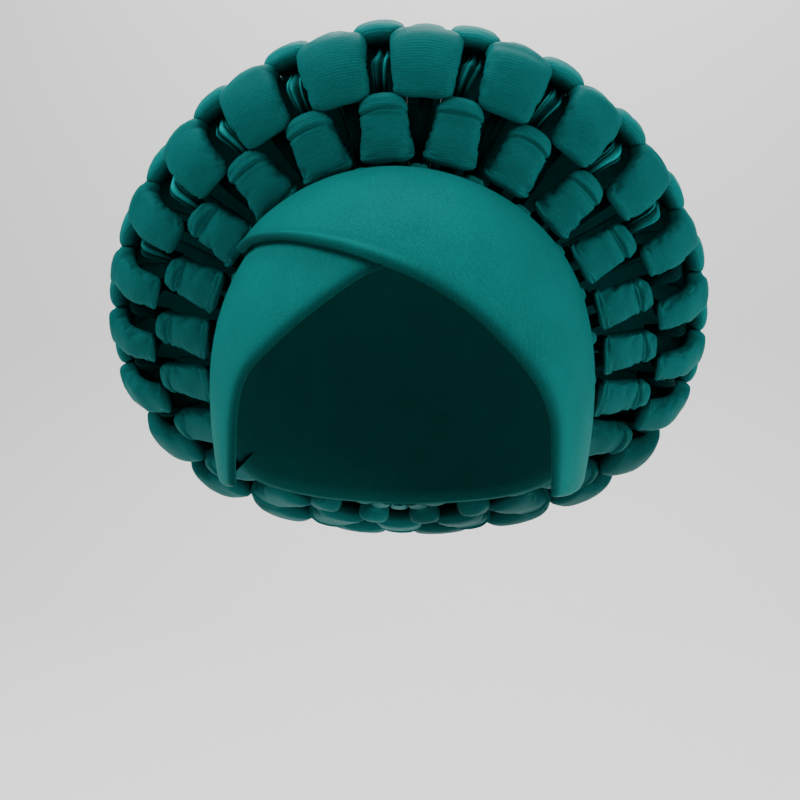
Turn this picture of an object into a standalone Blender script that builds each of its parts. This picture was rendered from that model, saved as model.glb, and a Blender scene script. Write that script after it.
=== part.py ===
"""Pre-tied gele head tie: a close cap, two crossed front bands and a halo of padded strips.

Units are metres and +Z is up. The front faces -Y and +X is the wearer's left. The origin is the point of
the head hollow that rests on the crown of the head.
"""
import math

import bmesh
import bpy
from mathutils import Vector

# Head hollow, the inside of the cap: an ellipsoid round HEAD_CENTRE, drawn out longer below than above
HEAD_WIDTH = 0.156
HEAD_LENGTH = 0.192
CROWN_HEIGHT = 0.092
NAPE_DEPTH = 0.125

# Cloth thicknesses and the gaps between pieces
CAP_WALL = 0.0020
BAND_WALL = 0.0032
BAND_ROLL = 0.0040
BAND_SEAT = 0.0010
TACK_GAP = 0.0006
SEAT_GAP = 0.0004

# Halo: the line through the row of large puffs, an ellipse seen square on whose top leans to the wearer's
# left by RING_LEAN, bent back towards the nape
RING_HALF_WIDTH = 0.1290
RING_HALF_LENGTH = 0.1510
RING_LEAN = 0.0042
RING_BACK = 0.0456
RING_RISE = 0.0150
TILT_MIDDLE = math.radians(44.0)
TILT_CHANGE = math.radians(18.0)
FACE_SLOPE = math.radians(16.5)

# Strips of the halo, in pairs: an even strip puffs out in rows 1 and 3, an odd one in rows 0 and 2
STRIP_PAIRS = 23
PAIR_PHASE = 0.23

# How far the strips crowd towards the top, in pairs, as waves round the ring
SIDE_CROWDING_SHARE = 0.32
TOP_EASING_SHARE = 0.16
TURN_BACK_SHARE = 0.07

# Rows of the strips
ROW_PITCH = 0.0258
HALO_DEPTH = 0.0300
RIM_REACH = 0.0065
PUFF_HEIGHT = 0.0040
RIM_PUFF_HEIGHT = 0.0028
PUFF_THICKNESS = 0.0090
GATHER_THICKNESS = 0.0050
BACK_THICKNESS = 0.0046

# Half width of a strip where it puffs out and where it is gathered, as shares of the spacing of the strips
PUFF_SHARE = 0.74
PLATEAU_SHARE = 0.28
BAND_STANDOFF = 0.0098
END_ROW_SHARE = 0.12

# Edge of the cap: azimuth from the front and elevation of the edge, in degrees, seen from the head centre
CAP_EDGE = (
    # azimuth, elevation
    (0.0, 36.0),
    (30.0, 28.0),
    (60.0, 8.0),
    (90.0, -13.0),
    (120.0, -22.0),
    (150.0, -26.0),
    (180.0, -27.5),
)
RING_TABLE_COUNT = 720
CAP_SEGMENTS = 28
CAP_RINGS = 6

# Free edge of each band from its upper end to its lower one. Azimuth and elevation are degrees seen from
# the head centre, halo_share is the place on the halo that the rear edge keeps beside, measured round it
# from the top, and lift says how much of the other band's wall lies beneath.
OVER_BAND_EDGE = (
    # azimuth, elevation, halo_share, lift
    (-71.0, 35.2, -0.137, 1.0),
    (-58.0, 36.5, -0.127, 1.0),
    (-42.0, 36.0, -0.114, 1.0),
    (-30.0, 34.5, -0.093, 1.0),
    (-18.0, 32.0, -0.066, 1.0),
    (-7.0, 29.0, -0.034, 1.0),
    (4.0, 25.3, 0.000, 1.0),
    (14.0, 20.8, 0.034, 1.0),
    (23.5, 15.0, 0.068, 1.0),
    (33.0, 7.5, 0.104, 1.0),
    (42.0, 0.0, 0.148, 0.9),
    (49.0, -6.0, 0.200, 0.6),
    (52.5, -13.0, 0.252, 0.4),
    (56.0, -20.5, 0.300, 0.3),
)
UNDER_BAND_EDGE = (
    # azimuth, elevation, halo_share, lift
    (68.0, 35.0, 0.134, 0.0),
    (57.0, 38.5, 0.128, 0.0),
    (41.0, 38.0, 0.110, 0.0),
    (28.0, 36.5, 0.090, 0.0),
    (16.0, 33.8, 0.064, 0.0),
    (4.0, 30.2, 0.032, 0.0),
    (-6.5, 26.6, 0.000, 0.0),
    (-16.0, 21.0, -0.034, 0.0),
    (-25.5, 15.0, -0.068, 0.0),
    (-35.0, 8.8, -0.104, 0.0),
    (-44.0, 3.0, -0.148, 0.0),
    (-50.0, -4.0, -0.200, 0.0),
    (-53.5, -11.5, -0.252, 0.0),
    (-58.0, -19.0, -0.300, 0.0),
)
BAND_COLUMNS = 7
BAND_STEPS = 2
BAND_ROLL_SHARE = 0.4
BAND_INSET_SHARE = 0.35

# Eight corners of a strip's cross section, as shares of its half width and half thickness
SHOULDER_SHARE = 0.74
STRIP_CORNERS = (
    # across, up
    (1.0, 0.0),
    (SHOULDER_SHARE, SHOULDER_SHARE),
    (0.0, 1.0),
    (-SHOULDER_SHARE, SHOULDER_SHARE),
    (-1.0, 0.0),
    (-SHOULDER_SHARE, -SHOULDER_SHARE),
    (0.0, -1.0),
    (SHOULDER_SHARE, -SHOULDER_SHARE),
)
# Step in rows that gives a strip's direction, and how much outward counts beside forward for its face
RUN_ROW_SHARE = 0.05
OUTWARD_SHARE = 0.4

# Cross section of the halo over its rim: row number, reach as a share of RIM_REACH, and distance behind
# the row of large puffs as a share of HALO_DEPTH
RIM_SECTION = (
    # row, reach_share, depth_share
    (1.0, 0.0, 0.0),
    (0.72, 0.62, 0.11),
    (0.28, 1.0, 0.34),
    (-0.28, 1.0, 0.66),
    (-0.72, 0.35, 0.91),
    (-1.2, -1.5, 1.07),
)

CLOTH = (0.005, 0.13, 0.125, 1.0)
PUFF_CLOTH = (0.003, 0.10, 0.095, 1.0)
CAP_CLOTH = (0.002, 0.035, 0.037, 1.0)

HEAD_CENTRE = Vector((0.0, 0.0, -CROWN_HEIGHT))
X_AXIS = Vector((1.0, 0.0, 0.0))


def head_axes(offset, below=False):
    """Return the half axes of the upper or lower head surface moved outward by an offset."""
    height = NAPE_DEPTH if below else CROWN_HEIGHT
    return Vector((HEAD_WIDTH / 2 + offset, HEAD_LENGTH / 2 + offset, height + offset))


def head_point(direction, offset):
    """Return the point of the offset head surface in a direction given in the head's own proportions."""
    unit = direction.normalized()
    axes = head_axes(offset, unit.z < 0.0)
    return HEAD_CENTRE + Vector((unit.x * axes.x, unit.y * axes.y, unit.z * axes.z))


def direction_from_angles(azimuth, elevation):
    """Return the direction for an azimuth from the front and an elevation, both in degrees."""
    turn, lift = math.radians(azimuth), math.radians(elevation)
    return Vector((math.cos(lift) * math.sin(turn), -math.cos(lift) * math.cos(turn), math.sin(lift)))


def distance_to_head(point, heading, offset):
    """Return how far a line travels before it meets the offset head surface."""
    start = point - HEAD_CENTRE
    travel = 0.0
    for below in (False, True):
        axes = head_axes(offset, below)
        p = Vector((start.x / axes.x, start.y / axes.y, start.z / axes.z))
        d = Vector((heading.x / axes.x, heading.y / axes.y, heading.z / axes.z))
        a, b, c = d.dot(d), 2.0 * p.dot(d), p.dot(p) - 1.0
        root = max(b * b - 4.0 * a * c, 0.0)
        travel = (-b - math.sqrt(root)) / (2.0 * a)
        if not below and start.z + heading.z * travel >= 0.0:
            break
    return travel


def ring_outline(angle):
    """Return how far across and up the ring lies at an angle of its ellipse."""
    up = RING_HALF_LENGTH * math.cos(angle)
    return RING_HALF_WIDTH * math.sin(angle) + RING_LEAN * math.cos(angle), up


def ring_angles(count):
    """Return a table of the share of the ring's length at even steps of its angle."""
    lengths, total = [0.0], 0.0
    before = ring_outline(0.0)
    for step in range(1, count + 1):
        here = ring_outline(2.0 * math.pi * step / count)
        total += math.dist(before, here)
        lengths.append(total)
        before = here
    return [length / total for length in lengths]


RING_TABLE = ring_angles(RING_TABLE_COUNT)


def ring_angle(share):
    """Return the ellipse angle at a share of the way round the ring, from the top."""
    share %= 1.0
    low, high = 0, len(RING_TABLE) - 1
    while high - low > 1:
        middle = (low + high) // 2
        if RING_TABLE[middle] > share:
            high = middle
        else:
            low = middle
    part = (share - RING_TABLE[low]) / (RING_TABLE[high] - RING_TABLE[low])
    return 2.0 * math.pi * (low + part) / (len(RING_TABLE) - 1)


def ring_frame(share):
    """Return the place on the ring, with the outward and forward directions there."""
    angle = ring_angle(share)
    x, v = ring_outline(angle)
    bend = TILT_CHANGE / RING_HALF_LENGTH
    tilt = TILT_MIDDLE + bend * v
    y = -(math.sin(tilt) - math.sin(TILT_MIDDLE)) / bend
    z = -(math.cos(tilt) - math.cos(TILT_MIDDLE)) / bend
    place = HEAD_CENTRE + Vector((x, RING_BACK + y, RING_RISE + z))
    along = Vector((0.0, -math.cos(tilt), math.sin(tilt)))
    normal_x = RING_HALF_LENGTH * math.sin(angle)
    normal_v = RING_HALF_WIDTH * math.cos(angle) - RING_LEAN * math.sin(angle)
    outward = (X_AXIS * normal_x + along * normal_v).normalized()
    forward = Vector((0.0, -math.sin(tilt), -math.cos(tilt)))
    return place, outward, forward


def inward_heading(outward, forward):
    """Return the direction in which both faces of the halo run towards the head."""
    return -outward * math.cos(FACE_SLOPE) + forward * math.sin(FACE_SLOPE)


def section_point(share, row):
    """Return the point of the halo's middle surface at a place round it and a row number."""
    place, outward, forward = ring_frame(share)
    heading = inward_heading(outward, forward)
    first, last = RIM_SECTION[0], RIM_SECTION[-1]
    if row >= first[0]:
        return place + heading * (row - first[0]) * ROW_PITCH
    if row <= last[0]:
        back = place + outward * last[1] * RIM_REACH - forward * last[2] * HALO_DEPTH
        return back + heading * (last[0] - row) * ROW_PITCH
    for before, after in zip(RIM_SECTION, RIM_SECTION[1:]):
        if row >= after[0]:
            part = (before[0] - row) / (before[0] - after[0])
            reach = before[1] + (after[1] - before[1]) * part
            depth = before[2] + (after[2] - before[2]) * part
            return place + outward * reach * RIM_REACH - forward * depth * HALO_DEPTH
    return place


def face_end(share):
    """Return the row number at which the front face of the halo meets the cap."""
    place, outward, forward = ring_frame(share)
    heading = inward_heading(outward, forward)
    travel = distance_to_head(place, heading, CAP_WALL + SEAT_GAP)
    return RIM_SECTION[0][0] + travel / ROW_PITCH


def back_end(share):
    """Return the row number, counted down behind the rim, at which the back face meets the cap."""
    place, outward, forward = ring_frame(share)
    row = RIM_SECTION[-1][0]
    start = section_point(share, row)
    travel = distance_to_head(start, inward_heading(outward, forward), CAP_WALL + SEAT_GAP)
    return row - travel / ROW_PITCH


def puff_state(row, odd):
    """Return 1 where a strip puffs out, -1 where it is gathered and 0 where it lies flat."""
    def level(number):
        if number < 0 or number > 3:
            return 0.0
        return 1.0 if (number % 2 == 0) == odd else -1.0
    nearest = math.floor(row + 0.5)
    away = row - nearest
    if abs(away) <= PLATEAU_SHARE:
        return level(nearest)
    step = 1 if away > 0 else -1
    part = (abs(away) - PLATEAU_SHARE) / (1.0 - 2.0 * PLATEAU_SHARE)
    return level(nearest) * (1.0 - part) + level(nearest + step) * part


def mesh_object(name, points, faces, colour, roughness):
    """Make a closed mesh object with outward faces and its own material."""
    mesh = bpy.data.meshes.new(name)
    mesh.from_pydata([tuple(point) for point in points], [], faces)
    shape = bmesh.new()
    shape.from_mesh(mesh)
    bmesh.ops.recalc_face_normals(shape, faces=shape.faces)
    bmesh.ops.triangulate(shape, faces=shape.faces)
    shape.to_mesh(mesh)
    shape.free()
    thing = bpy.data.objects.new(name, mesh)
    bpy.context.scene.collection.objects.link(thing)
    material = bpy.data.materials.new(name + "_cloth")
    material.use_nodes = True
    shader = material.node_tree.nodes["Principled BSDF"]
    shader.inputs["Base Color"].default_value = colour
    shader.inputs["Roughness"].default_value = roughness
    mesh.materials.append(material)
    return thing


def tube_faces(rings, sides):
    """Return the faces of a tube through rings of points, closed at both ends."""
    faces = []
    for ring in range(rings - 1):
        for side in range(sides):
            after = (side + 1) % sides
            low, high = ring * sides, (ring + 1) * sides
            faces.append((low + side, low + after, high + after, high + side))
    faces.append(tuple(range(sides))[::-1])
    last = (rings - 1) * sides
    faces.append(tuple(range(last, last + sides)))
    return faces


def strip_share(index):
    """Return the share of the way round the ring at which a strip stands."""
    share = (index / 2 + PAIR_PHASE) / STRIP_PAIRS
    turn = 2.0 * math.pi * share
    shift = TOP_EASING_SHARE * math.sin(2.0 * turn) - SIDE_CROWDING_SHARE * math.sin(turn)
    return share + (shift - TURN_BACK_SHARE * (1.0 - math.cos(turn))) / STRIP_PAIRS


def strip_section(index, row):
    """Return the eight points round a strip at one row number."""
    share = strip_share(index)
    middle = section_point(share, row)
    to_left = section_point(strip_share(index - 1), row) - middle
    to_right = section_point(strip_share(index + 1), row) - middle
    run = section_point(share, row - RUN_ROW_SHARE) - section_point(share, row + RUN_ROW_SHARE)
    side = (to_right - to_left).normalized()
    lift = run.cross(side).normalized()
    place, outward, forward = ring_frame(share)
    if lift.dot(forward + outward * OUTWARD_SHARE) < 0.0 and row > 0.0:
        lift = -lift
    if row <= 0.0 and lift.dot(outward * OUTWARD_SHARE - forward) < 0.0:
        lift = -lift
    state = puff_state(row, index % 2 == 1)
    height = RIM_PUFF_HEIGHT if row < 0.5 else PUFF_HEIGHT
    if state >= 0.0:
        thickness = BACK_THICKNESS + (PUFF_THICKNESS - BACK_THICKNESS) * state
    else:
        thickness = BACK_THICKNESS + (GATHER_THICKNESS - BACK_THICKNESS) * -state
    half = thickness / 2
    spacing = (to_left.length + to_right.length) / 2
    free = 1.0 - TACK_GAP / spacing
    reach = free / 2 + (PUFF_SHARE - 0.5) * state
    centre = middle + lift * height * state
    ring = []
    for across, up in STRIP_CORNERS:
        sideways = to_right * across if across >= 0.0 else to_left * -across
        ring.append(centre + sideways * reach + lift * half * up)
    return ring


def seat_on_cap(ring, share):
    """Move the points of an end section along the halo's faces until they rest on the cap."""
    place, outward, forward = ring_frame(share)
    heading = inward_heading(outward, forward)
    offset = CAP_WALL + SEAT_GAP
    return [point + heading * distance_to_head(point, heading, offset) for point in ring]


def build_strip(index):
    """Build one padded strip of the halo, from behind the bands over the rim to the back of the cap."""
    share = strip_share(index)
    front, back = face_end(share), back_end(share)
    rows = []
    for number in (3, 2, 1, 0):
        rows += [number + PLATEAU_SHARE, number - PLATEAU_SHARE]
    rows = [row for row in rows if row < front - END_ROW_SHARE]
    rows += [RIM_SECTION[-2][0], RIM_SECTION[-1][0], (RIM_SECTION[-1][0] + back) / 2]
    points = seat_on_cap(strip_section(index, front), share)
    for row in rows:
        points += strip_section(index, row)
    points += seat_on_cap(strip_section(index, back), share)
    name = "strip_%02d" % index
    sides = len(STRIP_CORNERS)
    return mesh_object(name, points, tube_faces(len(points) // sides, sides), PUFF_CLOTH, 0.55)


def cap_edge(azimuth):
    """Return the elevation of the cap's edge at an azimuth in degrees."""
    azimuth = abs((azimuth + 180.0) % 360.0 - 180.0)
    for before, after in zip(CAP_EDGE, CAP_EDGE[1:]):
        if azimuth <= after[0]:
            part = (azimuth - before[0]) / (after[0] - before[0])
            return before[1] + (after[1] - before[1]) * part
    return CAP_EDGE[-1][1]


def build_cap():
    """Build the close cap as a shell open below, with its hollow the size of the head."""
    points, faces = [], []
    for offset in (0.0, CAP_WALL):
        for level in range(CAP_RINGS):
            for segment in range(CAP_SEGMENTS):
                azimuth = 360.0 * segment / CAP_SEGMENTS
                low = cap_edge(azimuth)
                elevation = low + (90.0 - low) * level / CAP_RINGS
                points.append(head_point(direction_from_angles(azimuth, elevation), offset))
        points.append(head_point(Vector((0.0, 0.0, 1.0)), offset))
    shell = CAP_RINGS * CAP_SEGMENTS + 1
    for skin in (0, 1):
        start = skin * shell
        top = start + shell - 1
        for segment in range(CAP_SEGMENTS):
            after = (segment + 1) % CAP_SEGMENTS
            for level in range(CAP_RINGS - 1):
                low, high = start + level * CAP_SEGMENTS, start + (level + 1) * CAP_SEGMENTS
                quad = (low + segment, low + after, high + after, high + segment)
                faces.append(quad if skin else quad[::-1])
            last = start + (CAP_RINGS - 1) * CAP_SEGMENTS
            cap = (last + segment, last + after, top)
            faces.append(cap if skin else cap[::-1])
    for segment in range(CAP_SEGMENTS):
        after = (segment + 1) % CAP_SEGMENTS
        faces.append((segment, after, shell + after, shell + segment))
    return mesh_object("base_cap", points, faces, CAP_CLOTH, 0.7)


def rear_edge_direction(share):
    """Return the direction of the point where a band's rear edge lies beside the halo's strips."""
    place, outward, forward = ring_frame(share)
    heading = inward_heading(outward, forward)
    start = place + forward * BAND_STANDOFF
    point = start + heading * distance_to_head(start, heading, CAP_WALL) - HEAD_CENTRE
    axes = head_axes(CAP_WALL, point.z < 0.0)
    return Vector((point.x / axes.x, point.y / axes.y, point.z / axes.z)).normalized()


def smooth_rows(table, steps):
    """Return the rows of a table with further rows between them on a smooth curve."""
    rows = []
    for place in range(len(table) - 1):
        a, b = table[max(place - 1, 0)], table[place]
        c, d = table[place + 1], table[min(place + 2, len(table) - 1)]
        for step in range(steps):
            t = step / steps
            rows.append(tuple(
                0.5 * (2 * q + (r - p) * t + (2 * p - 5 * q + 4 * r - s) * t * t
                       + (3 * q - p - 3 * r + s) * t ** 3)
                for p, q, r, s in zip(a, b, c, d)))
    rows.append(table[-1])
    return rows


def build_band(name, edge_table):
    """Build one front band as a padded sheet between its free edge and its rear edge."""
    lift_step = BAND_ROLL + BAND_SEAT
    rings = []
    for azimuth, elevation, share, lift in smooth_rows(edge_table, BAND_STEPS):
        free = direction_from_angles(azimuth, elevation)
        rear = rear_edge_direction(share)
        base = CAP_WALL + BAND_SEAT + lift * lift_step
        inner, outer = [], []
        for column in range(BAND_COLUMNS + 1):
            part = column / BAND_COLUMNS
            if column == 1:
                part *= BAND_ROLL_SHARE
            way = free.slerp(rear, part)
            wall = BAND_ROLL if column <= 1 else BAND_WALL
            inset = BAND_INSET_SHARE if column in (0, BAND_COLUMNS) else 0.0
            inner.append(head_point(way, base + wall * inset))
            outer.append(head_point(way, base + wall * (1.0 - inset)))
        rings.append(inner + outer[::-1])
    sides = len(rings[0])
    points = [point for ring in rings for point in ring]
    faces = []
    for ring in range(len(rings) - 1):
        for side in range(sides):
            after = (side + 1) % sides
            low, high = ring * sides, (ring + 1) * sides
            faces.append((low + side, low + after, high + after, high + side))
    for start in (0, (len(rings) - 1) * sides):
        for side in range(sides // 2 - 1):
            far = sides - 1 - side
            faces.append((start + side, start + side + 1, start + far - 1, start + far))
    return mesh_object(name, points, faces, CLOTH, 0.5)


def main():
    """Build the whole head tie."""
    for thing in list(bpy.data.objects):
        bpy.data.objects.remove(thing, do_unlink=True)
    build_cap()
    build_band("under_band", UNDER_BAND_EDGE)
    build_band("over_band", OVER_BAND_EDGE)
    for index in range(2 * STRIP_PAIRS):
        build_strip(index)


main()
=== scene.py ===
"""Looks of the tied gele head tie: padded strips, crossed bands, close cap, and the studio round them.

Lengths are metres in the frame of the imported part. The front of the head tie faces -Y and +Z is up.
"""
from __future__ import annotations

import logging
import math
from dataclasses import dataclass
from enum import Enum

import bpy
import numpy as np
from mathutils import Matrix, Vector

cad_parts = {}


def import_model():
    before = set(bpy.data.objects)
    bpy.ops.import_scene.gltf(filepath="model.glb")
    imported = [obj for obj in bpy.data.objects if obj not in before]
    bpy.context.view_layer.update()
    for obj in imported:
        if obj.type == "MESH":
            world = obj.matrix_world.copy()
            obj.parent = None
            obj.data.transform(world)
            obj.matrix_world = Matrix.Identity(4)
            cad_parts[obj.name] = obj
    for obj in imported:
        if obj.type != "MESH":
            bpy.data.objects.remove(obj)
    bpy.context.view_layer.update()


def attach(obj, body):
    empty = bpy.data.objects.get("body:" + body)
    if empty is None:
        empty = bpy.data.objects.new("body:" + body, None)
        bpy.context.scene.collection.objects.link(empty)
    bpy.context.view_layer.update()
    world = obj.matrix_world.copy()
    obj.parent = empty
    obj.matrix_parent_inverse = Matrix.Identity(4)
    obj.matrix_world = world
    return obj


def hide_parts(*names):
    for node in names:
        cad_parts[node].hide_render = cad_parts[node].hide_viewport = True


LOG = logging.getLogger("gele")
MM = 0.001
FULL_TURN = 2.0 * math.pi
# Random phases run up to here, just short of a full turn
LAST_PHASE = 6.28
# The Wave texture multiplies its coordinate by this before it takes the sine
WAVE_RATE = 20.0
# A tube's end rings shrink to these shares of its last ring, and then close
END_SHARES = (0.02, 0.6)


class Side(Enum):
    """Which of the two crossed bands a band is."""

    OVER = "over_band"
    UNDER = "under_band"


def linear(hex_colour: str) -> tuple[float, float, float, float]:
    """Turn an sRGB hex colour into linear values.

    Args:
        hex_colour: Six hex digits, with or without a leading hash.

    Returns:
        The colour as linear red, green, blue and an alpha of one.
    """
    digits = hex_colour.lstrip("#")
    parts = [int(digits[start:start + 2], 16) / 255.0 for start in (0, 2, 4)]
    red, green, blue = (c / 12.92 if c <= 0.04045 else ((c + 0.055) / 1.055) ** 2.4 for c in parts)
    return red, green, blue, 1.0


def unit(vectors: np.ndarray) -> np.ndarray:
    """Scale vectors to a length of one.

    Args:
        vectors: An array whose last axis holds x, y and z.

    Returns:
        The vectors at unit length.
    """
    return vectors / np.maximum(np.linalg.norm(vectors, axis=-1, keepdims=True), 1e-12)


def eased(values: np.ndarray | float, start: float, end: float) -> np.ndarray:
    """Ease from 0 where the values pass a start to 1 where they pass an end.

    Args:
        values: Numbers to read.
        start: The value at which the easing begins, which may be the larger one.
        end: The value at which it ends.

    Returns:
        Shares from 0 to 1.
    """
    t = np.clip((np.asarray(values) - start) / (end - start), 0.0, 1.0)
    return t * t * (3.0 - 2.0 * t)


def wavy(rows: np.ndarray, around: np.ndarray, rng: np.random.Generator, waves: int = 5) -> np.ndarray:
    """Make a smooth uneven field over a grid, for the small hollows and swells of cloth.

    Args:
        rows: Positions along the piece, as a column.
        around: Angles round or across the piece, as a row.
        rng: The seeded source of phases.
        waves: How many waves are added up.

    Returns:
        A grid of values that lie mostly between -1 and 1.
    """
    total = np.zeros(np.broadcast_shapes(rows.shape, around.shape))
    for _ in range(waves):
        along = rng.uniform(1.5, 7.0)
        turns = rng.integers(1, 4)
        along_wave = np.sin(rows * along + rng.uniform(0, LAST_PHASE))
        total += along_wave * np.cos(around * turns + rng.uniform(0, LAST_PHASE))
    return total / math.sqrt(waves)


def ease_through(table: tuple[tuple[float, ...], ...], at: np.ndarray, column: int) -> np.ndarray:
    """Read one column of a table along a smooth curve without overshoot.

    Args:
        table: Rows whose first number is the position, in rising order.
        at: Positions to read.
        column: Which column to read.

    Returns:
        The values at the positions.
    """
    x = np.array([row[0] for row in table])
    y = np.array([row[column] for row in table])
    step = np.diff(x)
    slope = np.diff(y) / step
    tangent = np.zeros_like(y)
    same = slope[:-1] * slope[1:] > 0.0
    inner = np.zeros(len(slope) - 1)
    inner[same] = 2.0 * slope[:-1][same] * slope[1:][same] / (slope[:-1][same] + slope[1:][same])
    tangent[1:-1] = inner
    place = np.clip(np.searchsorted(x, at) - 1, 0, len(step) - 1)
    t = np.clip((at - x[place]) / step[place], 0.0, 1.0)
    h = step[place]
    return ((2 * t ** 3 - 3 * t ** 2 + 1) * y[place] + (t ** 3 - 2 * t ** 2 + t) * h * tangent[place]
            + (3 * t ** 2 - 2 * t ** 3) * y[place + 1] + (t ** 3 - t ** 2) * h * tangent[place + 1])


def add_node(tree: bpy.types.NodeTree, kind: str, settings: dict | None = None,
             links: dict | None = None) -> bpy.types.Node:
    """Add a shader node, set it up and link its inputs.

    Args:
        tree: The node tree that it goes into.
        kind: The node's type name.
        settings: Attribute names, or input names or numbers, and their values.
        links: Input names or numbers and the output sockets that feed them.

    Returns:
        The new node.
    """
    node = tree.nodes.new(kind)
    for key, value in (settings or {}).items():
        if isinstance(key, str) and hasattr(node, key):
            setattr(node, key, value)
        else:
            node.inputs[key].default_value = value
    for key, socket in (links or {}).items():
        tree.links.new(socket, node.inputs[key])
    return node


@dataclass(frozen=True)
class ClothFinish:
    """A woven satin cloth, drawn by its thread lines, its fine nap and its sheen, with painted light and
    shade multiplied into its colour.
    """

    name: str
    light: str
    dark: str
    gloss_tint: str
    roughness: float
    ior: float
    sheen: float
    thread_mm: float
    thread_depth_mm: float
    thread_turn: float
    thread_share: float
    nap_share: float
    naps_per_mm: float = 1.5
    slubs_per_mm: tuple[float, float] = (0.38, 1.5)
    clouds_per_mm: float = 0.045
    slub_share: float = 0.6
    nap_height_share: float = 0.35
    sheen_roughness: float = 0.35
    tone_range: tuple[float, float] = (0.22, 0.78)

    def build(self) -> bpy.types.Material:
        """Make the material.

        Returns:
            A material that reads the piece's own UV map, laid out in metres.
        """
        material = bpy.data.materials.new(self.name)
        material.use_nodes = True
        tree = material.node_tree
        shader = tree.nodes["Principled BSDF"]
        shader.inputs["Roughness"].default_value = self.roughness
        shader.inputs["IOR"].default_value = self.ior
        shader.inputs["Specular Tint"].default_value = linear(self.gloss_tint)
        shader.inputs["Sheen Weight"].default_value = self.sheen
        shader.inputs["Sheen Roughness"].default_value = self.sheen_roughness
        shader.inputs["Sheen Tint"].default_value = linear(self.gloss_tint)
        where = add_node(tree, "ShaderNodeUVMap", {"uv_map": "cloth"})
        # Threads lie side by side across the strip; drawn near their real pitch, as fine as a render shows
        turned = add_node(tree, "ShaderNodeMapping", {"Rotation": (0.0, 0.0, self.thread_turn)},
                          {"Vector": where.outputs["UV"]})
        threads = add_node(tree, "ShaderNodeTexWave",
                           {"bands_direction": "Y", "Scale": FULL_TURN / (WAVE_RATE * self.thread_mm * MM),
                            "Distortion": 1.1, "Detail": 2.0, "Detail Scale": 2.5},
                           {"Vector": turned.outputs["Vector"]})
        stretch = (self.slubs_per_mm[0] / MM, self.slubs_per_mm[1] / MM, 1.0)
        drawn_out = add_node(tree, "ShaderNodeMapping", {"Scale": stretch},
                             {"Vector": turned.outputs["Vector"]})
        slubs = add_node(tree, "ShaderNodeTexNoise", {"Scale": 1.0, "Detail": 3.0, "Roughness": 0.6},
                         {"Vector": drawn_out.outputs["Vector"]})
        in_space = add_node(tree, "ShaderNodeTexCoord")
        nap = add_node(tree, "ShaderNodeTexNoise",
                       {"Scale": self.naps_per_mm / MM, "Detail": 4.0, "Roughness": 0.8},
                       {"Vector": in_space.outputs["Object"]})
        cloud = add_node(tree, "ShaderNodeTexNoise", {"Scale": self.clouds_per_mm / MM, "Detail": 2.0},
                         {"Vector": in_space.outputs["Object"]})
        uneven = add_node(tree, "ShaderNodeMix", {"data_type": "FLOAT", 0: self.slub_share},
                          {2: cloud.outputs["Fac"], 3: slubs.outputs["Fac"]})
        lined = add_node(tree, "ShaderNodeMix", {"data_type": "FLOAT", 0: self.thread_share},
                         {2: uneven.outputs[0], 3: threads.outputs["Fac"]})
        tone = add_node(tree, "ShaderNodeMix", {"data_type": "FLOAT", 0: self.nap_share},
                        {2: lined.outputs[0], 3: nap.outputs["Fac"]})
        colour = add_node(tree, "ShaderNodeValToRGB", {}, {"Fac": tone.outputs[0]})
        ramp = colour.color_ramp.elements
        for stop, place, shade_hex in zip(ramp, self.tone_range, (self.dark, self.light)):
            stop.position = place
            stop.color = linear(shade_hex)
        # Painted light and shade: the colour is multiplied by lightness stored on the points, with painted
        # shade in hollows and painted highlights on ridges and rim
        shade = add_node(tree, "ShaderNodeAttribute", {"attribute_name": "painted_light_and_shade"})
        with_painted_light = add_node(tree, "ShaderNodeMix", {"data_type": "RGBA", "blend_type": "MULTIPLY", 0: 1.0},
                       {6: colour.outputs["Color"], 7: shade.outputs["Color"]})
        tree.links.new(with_painted_light.outputs[2], shader.inputs["Base Color"])
        relief = add_node(tree, "ShaderNodeMath", {"operation": "MULTIPLY_ADD", 1: self.nap_height_share},
                          {0: nap.outputs["Fac"], 2: threads.outputs["Fac"]})
        bump = add_node(tree, "ShaderNodeBump", {"Strength": 1.0, "Distance": self.thread_depth_mm * MM},
                        {"Height": relief.outputs["Value"]})
        tree.links.new(bump.outputs["Normal"], shader.inputs["Normal"])
        return material


@dataclass(frozen=True)
class PlainFinish:
    """A plain painted or paper surface of the studio."""

    name: str
    colour: str
    roughness: float

    def build(self) -> bpy.types.Material:
        """Make the material."""
        material = bpy.data.materials.new(self.name)
        material.use_nodes = True
        shader = material.node_tree.nodes["Principled BSDF"]
        shader.inputs["Base Color"].default_value = linear(self.colour)
        shader.inputs["Roughness"].default_value = self.roughness
        return material


# Polyester satin knit, stretched smooth over padding: fine slanting ribs and a soft broad sheen
BAND_SATIN = ClothFinish(
    name="satin_knit_band", light="00736F", dark="003C3A", gloss_tint="00C8BC", roughness=0.50, ior=1.06,
    sheen=0.0, thread_mm=1.15, thread_depth_mm=0.045, thread_turn=0.62, thread_share=0.20, nap_share=0.60)
# The same satin woven in ribs across each strip: duller, with thread lines that run round the puffs
PUFF_SATIN = ClothFinish(
    name="ribbed_satin_puff", light="006463", dark="003635", gloss_tint="00D0CC", roughness=0.50, ior=1.10,
    sheen=0.06, thread_mm=0.90, thread_depth_mm=0.045, thread_turn=0.0, thread_share=0.22, nap_share=0.45)
# Stretch lining jersey of the cap: matte and darker
CAP_JERSEY = ClothFinish(
    name="stretch_jersey_cap", light="004744", dark="003836", gloss_tint="00A89C", roughness=0.80, ior=1.15,
    sheen=0.0, thread_mm=0.90, thread_depth_mm=0.03, thread_turn=0.0, thread_share=0.20, nap_share=0.3)
# Rolled backdrop paper: matte and nearly white
STUDIO_PAPER = PlainFinish(name="matte_backdrop_paper", colour="DCDEDC", roughness=0.9)


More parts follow.
